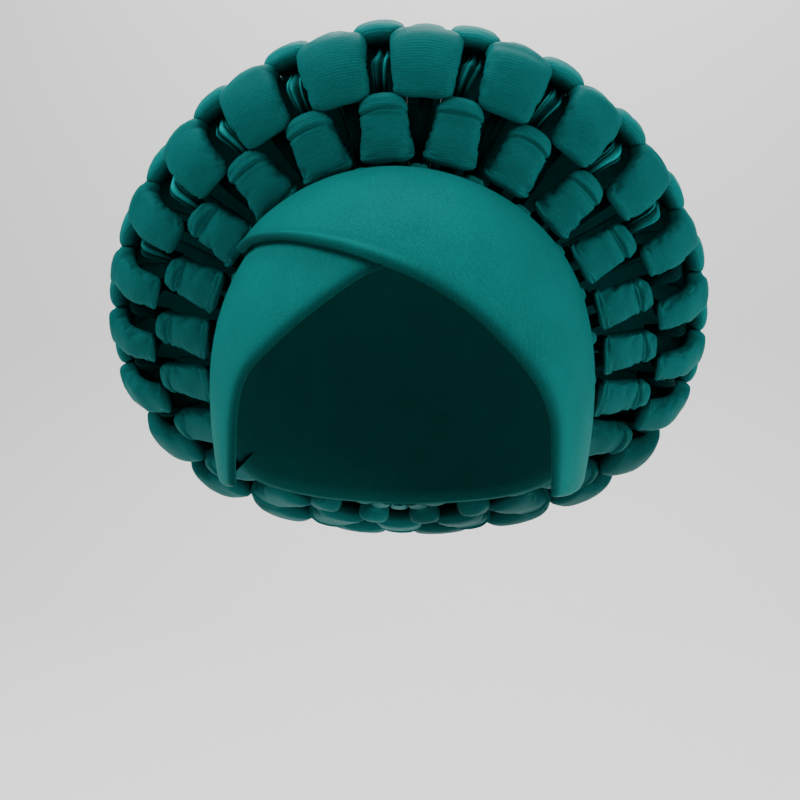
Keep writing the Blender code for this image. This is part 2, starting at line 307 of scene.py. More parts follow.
def make_mesh(name: str, points: np.ndarray, faces: np.ndarray, loops_uv: np.ndarray,
              shade: np.ndarray | None = None) -> bpy.types.Object:
    """Make a smooth object from a grid of points.

    Args:
        name: The piece's name.
        points: Vertex places, one row each.
        faces: Four vertex numbers a face.
        loops_uv: UV places in metres, one for each corner of each face.
        shade: Painted light and shade, how light the cloth is at each vertex, from 0 to 1.

    Returns:
        The new object, linked to the scene.
    """
    mesh = bpy.data.meshes.new(name)
    mesh.vertices.add(len(points))
    mesh.vertices.foreach_set("co", points.astype(np.float32).ravel())
    mesh.loops.add(faces.size)
    mesh.loops.foreach_set("vertex_index", faces.astype(np.int32).ravel())
    mesh.polygons.add(len(faces))
    mesh.polygons.foreach_set("loop_start", np.arange(0, faces.size, 4, dtype=np.int32))
    mesh.polygons.foreach_set("use_smooth", np.ones(len(faces), dtype=bool))
    layer = mesh.uv_layers.new(name="cloth")
    layer.data.foreach_set("uv", loops_uv.astype(np.float32).ravel())
    tone = np.ones(len(points)) if shade is None else shade
    # Painted light and shade, kept as a colour attribute that the cloth multiplies into its colour
    paint = mesh.color_attributes.new("painted_light_and_shade", "FLOAT_COLOR", "POINT")
    paint.data.foreach_set("color", np.repeat(tone, 4).astype(np.float32))
    mesh.update(calc_edges=True)
    mesh.validate()
    thing = bpy.data.objects.new(name, mesh)
    bpy.context.scene.collection.objects.link(thing)
    return thing


def tube_mesh(name: str, rings: np.ndarray, around_m: np.ndarray, along_m: np.ndarray,
              shade: np.ndarray | None = None) -> bpy.types.Object:
    """Make a closed tube through rings of points, with its ends drawn in to a point.

    Args:
        name: The piece's name.
        rings: Points as (rings, sides, 3).
        around_m: Distance round the tube at each side, one more than there are sides.
        along_m: Distance along the tube at each ring.
        shade: Painted light and shade, as (rings, sides).

    Returns:
        The new object.
    """
    count, sides = rings.shape[:2]
    first, last = rings[:1].mean(axis=1, keepdims=True), rings[-1:].mean(axis=1, keepdims=True)
    ends = []
    for ring, centre in ((rings[:1], first), (rings[-1:], last)):
        ends.append([centre + (ring - centre) * part for part in END_SHARES])
    stack = np.concatenate([ends[0][0], ends[0][1], rings, ends[1][1], ends[1][0]])
    along = np.concatenate([[along_m[0]] * 2, along_m, [along_m[-1]] * 2])
    total = count + 2 * len(END_SHARES)
    ring_no, side_no = np.meshgrid(np.arange(total - 1), np.arange(sides), indexing="ij")
    after = (side_no + 1) % sides
    quad = np.stack([ring_no * sides + side_no, ring_no * sides + after,
                     (ring_no + 1) * sides + after, (ring_no + 1) * sides + side_no], axis=-1).reshape(-1, 4)
    u0, u1 = around_m[side_no], around_m[side_no + 1]
    v0, v1 = along[ring_no], along[ring_no + 1]
    uv = np.stack([np.stack([u0, v0], -1), np.stack([u1, v0], -1),
                   np.stack([u1, v1], -1), np.stack([u0, v1], -1)], axis=2).reshape(-1, 2)
    tone = None
    if shade is not None:
        tone = np.concatenate([shade[:1], shade[:1], shade, shade[-1:], shade[-1:]]).ravel()
    return make_mesh(name, stack.reshape(-1, 3), quad, uv, tone)


@dataclass(frozen=True)
class HeadForm:
    """The hollow that the head fills, an ellipsoid drawn out longer below its widest level."""

    width: float = 0.156
    length: float = 0.192
    crown: float = 0.092
    nape: float = 0.125
    cap_wall: float = 0.0020

    @property
    def centre(self) -> np.ndarray:
        """The middle of the head at its widest level."""
        return np.array([0.0, 0.0, -self.crown])

    def axes(self, offset: np.ndarray | float, below: np.ndarray) -> np.ndarray:
        """Half axes of the surface moved outward.

        Args:
            offset: How far outward, in metres.
            below: True where the lower, longer half applies.

        Returns:
            Half axes, with x, y and z on the last axis.
        """
        height = np.where(below, self.nape, self.crown) + offset
        halves = (self.width / 2 + offset, self.length / 2 + offset, height)
        return np.stack(np.broadcast_arrays(*halves), axis=-1)

    def surface(self, directions: np.ndarray, offset: np.ndarray | float) -> np.ndarray:
        """Points of the offset surface.

        Args:
            directions: Directions in the head's own proportions.
            offset: How far outward, in metres.

        Returns:
            The points.
        """
        way = unit(directions)
        return self.centre + way * self.axes(offset, way[..., 2] < 0.0)

    def travel(self, points: np.ndarray, headings: np.ndarray, offset: float) -> np.ndarray:
        """How far lines go before they meet the offset surface.

        Args:
            points: Where the lines start.
            headings: Their unit directions.
            offset: How far outward the surface is moved.

        Returns:
            The distances.
        """
        start = points - self.centre
        found = []
        for below in (False, True):
            axes = self.axes(offset, np.array(below))
            p, d = start / axes, headings / axes
            square = (d * d).sum(-1)
            middle = 2.0 * (p * d).sum(-1)
            rest = (p * p).sum(-1) - 1.0
            inside = np.maximum(middle * middle - 4.0 * square * rest, 0.0)
            found.append((-middle - np.sqrt(inside)) / (2.0 * square))
        height = start[..., 2] + headings[..., 2] * found[0]
        return np.where(height >= 0.0, found[0], found[1])


@dataclass(frozen=True)
class HaloForm:
    """The tilted ring on which the strips stand side by side."""

    head: HeadForm
    half_width: float = 0.1290
    half_length: float = 0.1510
    lean: float = 0.028
    back: float = 0.0456
    rise: float = 0.0150
    tilt: float = math.radians(44.0)
    tilt_change: float = math.radians(18.0)
    slope: float = math.radians(16.5)
    pairs: int = 23
    phase: float = 0.23
    side_crowding: float = 0.32
    top_easing: float = 0.16
    turn_back: float = 0.07
    row_pitch: float = 0.0258
    depth: float = 0.0300
    rim_reach: float = 0.0065
    seat_gap: float = 0.0004
    rim_rows: tuple[tuple[float, float, float], ...] = (
        # row, reach_share, depth_share
        (1.0, 0.0, 0.0), (0.72, 0.62, 0.11), (0.28, 1.0, 0.34),
        (-0.28, 1.0, 0.66), (-0.72, 0.35, 0.91), (-1.2, -1.5, 1.07))
    angle_steps: int = 1441
    section_rows: float = 8.0
    section_step: float = 0.02
    rounding_steps: int = 21

    def angle(self, share: np.ndarray) -> np.ndarray:
        """Ellipse angle at a share of the way round.

        Args:
            share: Shares of the ring's length from its top.

        Returns:
            The angles.
        """
        grid = np.linspace(0.0, FULL_TURN, self.angle_steps)
        v = self.half_length * np.cos(grid)
        x = self.half_width * np.sin(grid) + self.lean * v
        run = np.concatenate([[0.0], np.cumsum(np.hypot(np.diff(x), np.diff(v)))])
        return np.interp(np.mod(share, 1.0), run / run[-1], grid)

    def strip_share(self, index: float) -> float:
        """Share of the way round at which a strip stands."""
        share = (index / 2 + self.phase) / self.pairs
        turn = FULL_TURN * share
        shift = self.top_easing * math.sin(2.0 * turn) - self.side_crowding * math.sin(turn)
        return share + (shift - self.turn_back * (1.0 - math.cos(turn))) / self.pairs

    def frame(self, share: np.ndarray) -> tuple[np.ndarray, np.ndarray, np.ndarray]:
        """Places on the ring with the directions there.

        Args:
            share: Shares of the ring's length from its top.

        Returns:
            The places, and the outward and forward directions.
        """
        angle = self.angle(np.asarray(share, dtype=float))
        v = self.half_length * np.cos(angle)
        x = self.half_width * np.sin(angle) + self.lean * v
        bend = self.tilt_change / self.half_length
        tilt = self.tilt + bend * v
        y = -(np.sin(tilt) - math.sin(self.tilt)) / bend
        z = -(np.cos(tilt) - math.cos(self.tilt)) / bend
        zero = np.zeros_like(x)
        place = self.head.centre + np.stack([x, self.back + y, self.rise + z], axis=-1)
        along = np.stack([zero, -np.cos(tilt), np.sin(tilt)], axis=-1)
        across = np.stack([zero + 1.0, zero, zero], axis=-1)
        outward = unit(across * (self.half_length * np.sin(angle))[..., None]
                       + along * (self.half_width * np.cos(angle)
                                  - self.lean * self.half_length * np.sin(angle))[..., None])
        forward = np.stack([zero, -np.sin(tilt), -np.cos(tilt)], axis=-1)
        return place, outward, forward

    def section(self, rows: np.ndarray) -> tuple[np.ndarray, np.ndarray]:
        """The halo's middle surface in section, rounded where its straight runs meet.

        Args:
            rows: Row numbers, counted from the rim inward and below zero behind it.

        Returns:
            How far outward and how far forward of the row of large puffs each row lies.
        """
        grid = np.arange(-self.section_rows, self.section_rows + self.section_step / 2, self.section_step)
        first, last = self.rim_rows[0], self.rim_rows[-1]
        knots = np.array(self.rim_rows)[::-1]
        reach = np.interp(grid, knots[:, 0], knots[:, 1]) * self.rim_reach
        ahead = -np.interp(grid, knots[:, 0], knots[:, 2]) * self.depth
        inward = np.maximum(grid - first[0], 0.0) + np.maximum(last[0] - grid, 0.0)
        reach -= inward * self.row_pitch * math.cos(self.slope)
        ahead += inward * self.row_pitch * math.sin(self.slope)
        window = np.hanning(self.rounding_steps)
        window /= window.sum()
        reach = np.convolve(reach, window, mode="same")
        ahead = np.convolve(ahead, window, mode="same")
        return np.interp(rows, grid, reach), np.interp(rows, grid, ahead)

    def point(self, share: float, rows: np.ndarray) -> np.ndarray:
        """Points of the middle surface at one place round the halo.

        Args:
            share: Share of the ring's length from its top.
            rows: Row numbers.

        Returns:
            The points.
        """
        place, outward, forward = self.frame(np.array(share))
        reach, ahead = self.section(rows)
        return place + outward * reach[..., None] + forward * ahead[..., None]

    def heading(self, share: np.ndarray) -> np.ndarray:
        """Direction in which both faces of the halo run towards the head."""
        _, outward, forward = self.frame(share)
        return -outward * math.cos(self.slope) + forward * math.sin(self.slope)

    def ends(self, share: float) -> tuple[float, float]:
        """Row numbers at which the front and back faces meet the cap.

        Args:
            share: Share of the ring's length from its top.

        Returns:
            The front and the back row number.
        """
        heading = self.heading(np.array(share))
        offset = self.head.cap_wall + self.seat_gap
        found = []
        for row in (1.0, self.rim_rows[-1][0]):
            start = self.point(share, np.array([row]))[0]
            found.append(self.head.travel(start, heading, offset) / self.row_pitch)
        return 1.0 + found[0], self.rim_rows[-1][0] - found[1]

    def rear_edge(self, share: np.ndarray, standoff: float) -> np.ndarray:
        """Directions of a band's rear edge, which keeps in front of the strips.

        Args:
            share: Shares of the ring's length from its top.
            standoff: How far in front of the strips' middle surface the edge lies.

        Returns:
            Directions in the head's own proportions.
        """
        place, _, forward = self.frame(share)
        heading = self.heading(share)
        start = place + forward * standoff
        wall = self.head.cap_wall
        point = start + heading * self.head.travel(start, heading, wall)[..., None] - self.head.centre
        return unit(point / self.head.axes(wall, point[..., 2] < 0.0))


class PuffEnd(Enum):
    """How a puff closes at one end."""

    DOME = "dome"
    BLUNT = "blunt"
    SOFT = "soft"


CLOSED_ENDS = (PuffEnd.DOME, PuffEnd.BLUNT)
SOFT_END_MM = 15.0
# How a closed end rounds across its width and in its height: reach in millimetres and power
WIDTH_ROUNDING = {PuffEnd.DOME: (7.6, 2.0), PuffEnd.BLUNT: (6.0, 3.0)}
HEIGHT_ROUNDING = {PuffEnd.DOME: (3.8, 2.3), PuffEnd.BLUNT: (4.6, 2.2)}


@dataclass(frozen=True)
class Puff:
    """One padded pillow of a strip, between two rows."""

    outer_row: float
    inner_row: float
    outer_end: PuffEnd
    inner_end: PuffEnd
    shape: tuple[tuple[float, float, float], ...]
    blunt_room: float = 0.4
    rim_room: tuple[float, float] = (-0.35, 0.6)

    def end_share(self, inside_mm: np.ndarray, end: PuffEnd, of_width: bool) -> np.ndarray:
        """How full the pillow is near one of its ends.

        Args:
            inside_mm: Distance inside the end, in millimetres.
            end: How the end closes.
            of_width: True for the width's share, False for the height's.

        Returns:
            Shares from 0 at the end to 1 inside the pillow.
        """
        if end is PuffEnd.SOFT:
            return eased(inside_mm, 0.0, SOFT_END_MM)
        reach, power = (WIDTH_ROUNDING if of_width else HEIGHT_ROUNDING)[end]
        short = 1.0 - np.clip(inside_mm / reach, 0.0, 1.0)
        return np.maximum(1.0 - short ** power, 0.0) ** (1.0 / power)

    def yields(self, rows: np.ndarray) -> np.ndarray:
        """Where the pillow makes room for its neighbours' domed ends."""
        if self.inner_end is not PuffEnd.BLUNT:
            return np.zeros(rows.shape, dtype=bool)
        over_rim = (rows > self.rim_room[0]) & (rows < self.rim_room[1])
        return over_rim | (rows > self.inner_row - self.blunt_room)

    def fullness(self, rows: np.ndarray, pitch_mm: float, of_width: bool) -> np.ndarray:
        """How full the pillow is along its strip.

        Args:
            rows: Row numbers.
            pitch_mm: Length of a row.
            of_width: True for the width's share, False for the height's.

        Returns:
            Shares, 0 outside the pillow.
        """
        first, last = (rows - self.outer_row) * pitch_mm, (self.inner_row - rows) * pitch_mm
        at_first = self.end_share(first, self.outer_end, of_width)
        at_last = self.end_share(last, self.inner_end, of_width)
        return np.where((first > 0.0) & (last > 0.0), at_first * at_last, 0.0)


@dataclass(frozen=True)
class StripPlan:
    """Where one kind of strip puffs out, and how its gathered stretches lie between."""

    puffs: tuple[Puff, ...]
    neck: tuple[tuple[float, float, float], ...]

    def neck_shape(self, rows: np.ndarray) -> tuple[np.ndarray, np.ndarray]:
        """Width share and height in millimetres of the gathered stretches."""
        return ease_through(self.neck, rows, 1), ease_through(self.neck, rows, 2)

    def puff_width(self, rows: np.ndarray, pitch_mm: float) -> np.ndarray:
        """Width share that the puffs take up, 0 where there is none."""
        taken = np.zeros_like(rows)
        for puff in self.puffs:
            full = puff.fullness(rows, pitch_mm, of_width=True)
            taken = np.maximum(taken, full * ease_through(puff.shape, rows, 1))
        return taken


EVEN_PLAN = StripPlan(
    puffs=(
        Puff(-1.0, 1.535, PuffEnd.SOFT, PuffEnd.BLUNT, (
            # row, width_share, top_mm
            (-1.0, 0.50, 2.4), (-0.65, 0.478, 4.8), (-0.2, 0.50, 6.6), (0.0, 0.56, 7.2), (0.12, 0.68, 7.9),
            (0.26, 0.79, 8.7), (0.5, 0.785, 9.6), (1.0, 0.755, 10.3), (1.3, 0.745, 10.0), (1.54, 0.74, 9.3))),
        Puff(2.49, 3.5, PuffEnd.DOME, PuffEnd.SOFT, (
            # row, width_share, top_mm
            (2.5, 0.44, 8.0), (2.9, 0.60, 8.6), (3.2, 0.60, 8.4), (3.5, 0.50, 5.0)))),
    neck=(
        # row, width_share, top_mm
        (-9.0, 0.50, 2.3), (-0.9, 0.50, 2.3), (0.0, 0.40, 0.0), (1.2, 0.22, -7.0), (1.6, 0.20, -7.4),
        (2.1, 0.20, -7.0), (2.6, 0.20, -6.6), (3.1, 0.28, -4.0), (3.5, 0.50, 2.3), (9.0, 0.50, 2.3)))
ODD_PLAN = StripPlan(
    puffs=(
        Puff(-1.0, 0.31, PuffEnd.SOFT, PuffEnd.DOME, (
            # row, width_share, top_mm
            (-1.0, 0.50, 2.4), (-0.6, 0.487, 6.6), (-0.2, 0.57, 8.6), (0.0, 0.60, 8.7), (0.31, 0.60, 7.8))),
        Puff(1.385, 2.6, PuffEnd.DOME, PuffEnd.BLUNT, (
            # row, width_share, top_mm
            (1.38, 0.62, 9.8), (1.66, 0.655, 9.9), (1.76, 0.665, 9.2), (2.0, 0.72, 9.6), (2.3, 0.87, 9.2),
            (2.6, 0.97, 8.4)))),
    neck=(
        # row, width_share, top_mm
        (-9.0, 0.50, 2.3), (-0.9, 0.50, 2.3), (-0.2, 0.40, 0.0), (0.35, 0.17, -3.0), (0.85, 0.22, -0.4),
        (1.4, 0.15, -4.6), (2.2, 0.26, -7.0), (3.0, 0.28, -5.0), (3.5, 0.50, 2.3), (9.0, 0.50, 2.3)))


@dataclass(frozen=True)
class StripForm:
    """A strip before its cloth settles: its rings of points, its painted light and shade, and what may move.
    """

    index: int
    share: float
    rows: np.ndarray
    smooth: np.ndarray
    creased: np.ndarray
    # Painted light and shade of the cloth at each point
    shade: np.ndarray
    loose: np.ndarray
    aside: np.ndarray
    lift: np.ndarray
    toward_rim: np.ndarray
    which_side: np.ndarray


@dataclass
class ClothSettler:
    """Cloth simulation of all the strips at once: their padding swells cloth that is cut a little large."""

    frames: int = 14
    enlarge: float = 10.0
    every_row: float = 0.040
    rings_beyond: int = 3
    quality: int = 4
    bending: float = 0.05
    pressure: float = 4.0
    slack: float = 0.11
    vertex_mass: float = 0.02
    outward_mm: float = 0.20
    lift_mm: float = 1.1
    along_mm: float = 0.8
    release: float = 3.0

    def chosen_rings(self, form: StripForm) -> np.ndarray:
        """Numbers of the rings that the coarser simulated cloth keeps."""
        keep = []
        for place in np.flatnonzero(form.loose.max(axis=1) > 0.0):
            if not keep or form.rows[keep[-1]] - form.rows[place] >= self.every_row:
                keep.append(int(place))
        return np.array([keep[0] - 1] + keep + [min(keep[-1] + self.rings_beyond, len(form.rows) - 1)])

    def add_cloth(self, form: StripForm, chosen: np.ndarray) -> bpy.types.Object:
        """Make the simulated cloth of one strip.

        Args:
            form: The strip's form.
            chosen: Numbers of the rings that it keeps.

        Returns:
            A coarse tube with a Cloth modifier, enlarged so that the solver meets usual sizes.
        """
        points = form.smooth[chosen] * self.enlarge
        count, sides = points.shape[:2]
        ring_no, side_no = np.meshgrid(np.arange(count - 1), np.arange(sides), indexing="ij")
        after = (side_no + 1) % sides
        quads = np.stack([ring_no * sides + side_no, (ring_no + 1) * sides + side_no,
                          (ring_no + 1) * sides + after, ring_no * sides + after], axis=-1).reshape(-1, 4)
        mesh = bpy.data.meshes.new("settling_%02d" % form.index)
        mesh.from_pydata(points.reshape(-1, 3).tolist(), [], quads.tolist())
        thing = bpy.data.objects.new(mesh.name, mesh)
        bpy.context.scene.collection.objects.link(thing)
        held = thing.vertex_groups.new(name="held")
        for number, weight in enumerate(1.0 - form.loose[chosen].ravel()):
            held.add([number], float(weight), "REPLACE")
        cloth = thing.modifiers.new("settle", "CLOTH")
        cloth.settings.quality = self.quality
        cloth.settings.mass = self.vertex_mass
        cloth.settings.bending_stiffness = self.bending
        cloth.settings.use_pressure = True
        cloth.settings.uniform_pressure_force = self.pressure
        cloth.settings.shrink_min = -self.slack
        cloth.settings.vertex_group_mass = held.name
        cloth.settings.effector_weights.gravity = 0.0
        cloth.collision_settings.use_collision = False
        return thing

    def between(self, form: StripForm, chosen: np.ndarray, coarse: np.ndarray) -> np.ndarray:
        """Read the coarse cloth's movement at every point of the strip.

        Args:
            form: The strip's form.
            chosen: Numbers of the simulated rings.
            coarse: Movement of the simulated points.

        Returns:
            Movement of all the points, along a smooth curve through the simulated rings.
        """
        at, rows = -form.rows, -form.rows[chosen]
        slope = np.gradient(coarse, rows, axis=0)
        place = np.clip(np.searchsorted(rows, at) - 1, 0, len(rows) - 2)
        step = (rows[place + 1] - rows[place])[:, None, None]
        t = np.clip((at - rows[place])[:, None, None] / step, 0.0, 1.0)
        following = place + 1
        total = (2 * t ** 3 - 3 * t ** 2 + 1) * coarse[place] + (3 * t ** 2 - 2 * t ** 3) * coarse[following]
        total += (t ** 3 - 2 * t ** 2 + t) * step * slope[place] + (t ** 3 - t ** 2) * step * slope[following]
        return total

    @staticmethod
    def limited(amount: np.ndarray, limit_mm: np.ndarray | float) -> np.ndarray:
        """Ease amounts in metres so that none passes a limit in millimetres."""
        return limit_mm * MM * np.tanh(amount / (limit_mm * MM))

    def capped(self, form: StripForm, moved: np.ndarray) -> np.ndarray:
        """Keep the cloth's movement small, and off the strips beside it.

        Args:
            form: The strip's form.
            moved: Movement of its points.

        Returns:
            The movement within its caps.
        """
        way = form.which_side[..., None] * form.aside[:, None, :]
        up, rimward = form.lift[:, None, :], form.toward_rim[:, None, :]
        outward = (moved * way).sum(axis=-1)
        outward = self.limited(outward, np.where(outward > 0.0, self.outward_mm, self.lift_mm))
        lifted = self.limited((moved * up).sum(axis=-1), self.lift_mm)
        along = self.limited((moved * rimward).sum(axis=-1), self.along_mm)
        total = way * outward[..., None] + up * lifted[..., None] + rimward * along[..., None]
        return total * np.minimum(form.loose * self.release, 1.0)[..., None]

    def settle(self, forms: list[StripForm]) -> list[np.ndarray]:
        """Run the simulation of all the strips together.

        Args:
            forms: The strips' forms.

        Returns:
            How far each strip's points move.
        """
        rings = [self.chosen_rings(form) for form in forms]
        cloths = [self.add_cloth(form, chosen) for form, chosen in zip(forms, rings)]
        scene = bpy.context.scene
        for frame in range(1, self.frames + 1):
            scene.frame_set(frame)
        graph = bpy.context.evaluated_depsgraph_get()
        settled = []
        for form, chosen, thing in zip(forms, rings, cloths):
            shown = thing.evaluated_get(graph).data
            places = np.empty(len(shown.vertices) * 3, dtype=np.float32)
            shown.vertices.foreach_get("co", places)
            start = form.smooth[chosen]
            coarse = places.reshape(start.shape).astype(float) / self.enlarge - start
            settled.append(self.capped(form, self.between(form, chosen, coarse)))
        for thing in cloths:
            bpy.data.objects.remove(thing)
        scene.frame_set(1)
        largest = max(float(np.abs(moved).max()) for moved in settled)
        LOG.info("cloth settled: %d strips, largest step %.2f mm", len(settled), largest / MM)
        return settled


@dataclass(frozen=True)
class FoldStyle:
    """The small forms of a strip's cloth: twisted folds, puckers, swells and the stitched crease.

    A pair of numbers is a span: where an effect starts and where it is complete.
    """

    fold_mm: float = 1.3
    fold_waves: tuple[tuple[int, float], ...] = ((5, 0.40), (9, 0.38), (13, 0.22))
    gathered_below: float = 0.35
    front_starts: tuple[float, float] = (-0.2, 0.2)
    front_stops: tuple[float, float] = (3.5, 3.2)
    pucker_mm: float = 0.30
    pucker_waves: tuple[int, ...] = (11, 17)
    pucker_turn: float = 1.5
    pucker_from: tuple[float, float] = (0.0, 0.5)
    pucker_until: tuple[float, float] = (1.0, 0.75)
    swell_mm: float = 0.34
    swell_stretch: float = 2.2
    crease_row: float = 1.70
    crease_mm: float = 1.3
    crease_rows: float = 0.026
    crease_bow: float = 0.055
    crease_waver: float = 0.012
    crease_shift: float = -0.020
    crease_reach: float = 0.09
    crease_rings: int = 13
    lip_mm: float = 0.45
    lip_place: float = 2.6
    lip_width: float = 1.5
    far_lip_share: float = 0.5
    upper_side: tuple[float, float] = (-0.35, 0.25)

    def crease_samples(self) -> np.ndarray:
        """Row numbers of the rings that draw the stitched crease."""
        return self.crease_row + np.linspace(-self.crease_reach, self.crease_reach, self.crease_rings)

    def crease(self, rows: np.ndarray, around: np.ndarray, rng: np.random.Generator) -> np.ndarray:
        """The stitched crease across an odd strip, with a raised lip on each side.

        Args:
            rows: Row numbers, as a column.
            around: Angles round the strip, as a row.
            rng: The seeded source of variation.

        Returns:
            Heights in millimetres over the grid.
        """
        upper = eased(np.sin(around), *self.upper_side)
        waver = self.crease_waver * np.sin(3.0 * around + rng.uniform(0, LAST_PHASE))
        bow = self.crease_bow * np.cos(around) ** 2 + waver + self.crease_shift
        near = (rows - self.crease_row - bow) / self.crease_rows
        lip_before = np.exp(-((near + self.lip_place) / self.lip_width) ** 2)
        lip_after = np.exp(-((near - self.lip_place) / self.lip_width) ** 2)
        lips = self.lip_mm * (lip_before + self.far_lip_share * lip_after)
        return (lips - self.crease_mm * np.exp(-near ** 2)) * upper

    def height(self, rows: np.ndarray, around: np.ndarray, puffed: np.ndarray, odd: bool,
               rng: np.random.Generator) -> np.ndarray:
        """Folds, puckers and creases of a strip, as a height above its smooth form.

        Args:
            rows: Row numbers, as a column.
            around: Angles round the strip, as a row.
            puffed: How full the strip is at each row, as a column.
            odd: True for an odd strip.
            rng: The seeded source of variation.

        Returns:
            Heights in millimetres over the grid.
        """
        in_front = eased(rows, *self.front_starts) * eased(rows, *self.front_stops)
        gathered = (1.0 - eased(puffed, 0.0, self.gathered_below)) * in_front
        twist = rng.uniform(0.8, 1.6) * rng.choice([-1.0, 1.0])
        folds = np.zeros(np.broadcast_shapes(rows.shape, around.shape))
        for turns, part in self.fold_waves:
            sway = twist * rows + 0.5 * np.sin(rows * rng.uniform(2.0, 4.0) + rng.uniform(0, LAST_PHASE))
            folds += part * np.sin(around * turns + rng.uniform(0, LAST_PHASE) + sway)
        near_end = eased(puffed, *self.pucker_from) * eased(puffed, *self.pucker_until) * in_front
        pucker = np.zeros_like(folds)
        for turns in self.pucker_waves:
            pucker += np.sin(around * turns + rng.uniform(0, LAST_PHASE) + self.pucker_turn * rows)
        pucker /= len(self.pucker_waves)
        swell = wavy(rows * self.swell_stretch, around, rng) * (1.0 - gathered) * in_front
        height = self.fold_mm * gathered * folds + self.pucker_mm * near_end * pucker + self.swell_mm * swell
        if odd:
            height = height + self.crease(rows, around, rng)
        return height


@dataclass(frozen=True)
class StripPlace:
    """Where one strip stands: its middle line, the ways to its neighbours and its directions.

    How far it is below the halo's middle and out at its side are shares from 0 to 1.
    """

    index: int
    share: float
    front: float
    rows: np.ndarray
    middle: np.ndarray
    to_left: np.ndarray
    to_right: np.ndarray
    side: np.ndarray
    toward_rim: np.ndarray
    lift: np.ndarray
    low: float
    at_side: float

    @property
    def odd(self) -> bool:
        """True for the strips that puff in rows 0 and 2."""
        return self.index % 2 == 1

    @property
    def plan(self) -> StripPlan:
        """Where this strip puffs."""
        return ODD_PLAN if self.odd else EVEN_PLAN

    @property
    def other_plan(self) -> StripPlan:
        """Where its two neighbours puff."""
        return EVEN_PLAN if self.odd else ODD_PLAN

    @property
    def spacing(self) -> np.ndarray:
        """Mean distance to the neighbours at each row."""
        return (np.linalg.norm(self.to_left, axis=1) + np.linalg.norm(self.to_right, axis=1)) / 2


@dataclass(frozen=True)
class StripSection:
    """Sizes of a strip's section at each row: width share, and heights in millimetres."""

    reach: np.ndarray
    top: np.ndarray
    middle: np.ndarray
    under: np.ndarray
    puffed: np.ndarray


@dataclass(frozen=True)
class StripLight:
    """Painted light and shade on a strip's points, because the real hollows are near black: shade in hollows,
    highlights on ridges and rim.

    A pair of numbers is a span: where an effect starts and where it is complete.
    """

    # Painted highlight on the twisted ridges of the gathered stretches
    ridge_highlight: float = 3.0
    # Painted highlight over the rim
    rim: float = 1.38
    # Painted shade low on the strips, with a smaller share on the left side
    low_painted_shade: float = 0.50
    low_left_share: float = 0.3
    # Painted shade in the hollows, darker at the sides
    hollow_painted_shade: float = 0.34
    side_painted_shade: float = 0.24
    # Painted shade under the tucked ends
    tuck_painted_shade: float = 0.75
    deep_height_mm: float = -4.0
    light_height_mm: float = 3.0
    behind_row: float = -0.35
    between_from: tuple[float, float] = (0.3, 0.5)
    between_until: tuple[float, float] = (1.5, 1.2)
    seen_cosine: tuple[float, float] = (0.30, 0.60)
    ridge_mm: tuple[float, float] = (-0.35, 0.75)
    tuck_span: tuple[float, float] = (0.0, 0.8)
    rim_from: tuple[float, float] = (-1.0, -0.6)
    rim_until: tuple[float, float] = (0.42, 0.12)
    rim_height_mm: tuple[float, float] = (1.0, 5.0)

    def paint(self, place: StripPlace, height: np.ndarray, relief: np.ndarray, around: np.ndarray,
              tucked: np.ndarray) -> np.ndarray:
        """Work out the painted light and shade of the cloth at each point.

        Args:
            place: Where the strip stands.
            height: Heights in millimetres over the grid.
            relief: Heights of its folds in millimetres.
            around: Angles round the strip, as a row.
            tucked: How far the cloth is drawn back, as a share of the deepest tuck.

        Returns:
            Painted lightness over the grid.
        """
        rows = place.rows
        turn = FULL_TURN * place.share
        # Painted shade in the hollows, darker at the sides, fading out where the cloth rises
        hollow_painted_shade = self.hollow_painted_shade - self.side_painted_shade * place.at_side
        shade = hollow_painted_shade + (1.0 - hollow_painted_shade) * eased(height, self.deep_height_mm, self.light_height_mm)
        # Painted highlights on the ridges of odd strips' gathered stretches, strongest at the top of the halo
        if place.odd:
            between = (eased(rows, *self.between_from) * eased(rows, *self.between_until))[:, None]
            ridge_highlight = hollow_painted_shade + (self.ridge_highlight - hollow_painted_shade) * float(eased(math.cos(turn), *self.seen_cosine))
            ridges = hollow_painted_shade + (ridge_highlight - hollow_painted_shade) * eased(relief * np.sin(around), *self.ridge_mm)
            shade = shade + (ridges - shade) * between
        # Painted shade under the tucked ends of the puffs
        shade = shade * (1.0 - self.tuck_painted_shade * eased(np.abs(tucked), *self.tuck_span))
        # Painted highlight over the rim; behind the rim the cloth has no painted shade
        over_rim = (eased(rows, *self.rim_until) * eased(rows, *self.rim_from))[:, None]
        shade = np.where(rows[:, None] < self.behind_row, 1.0, shade)
        shade = shade * (1.0 + (self.rim - 1.0) * over_rim * eased(height, *self.rim_height_mm))
        # Painted shade low on the strips, fuller on the right side than the left
        side_share = 1.0 if math.sin(turn) > 0.0 else self.low_left_share
        return shade * (1.0 - self.low_painted_shade * place.low * side_share)


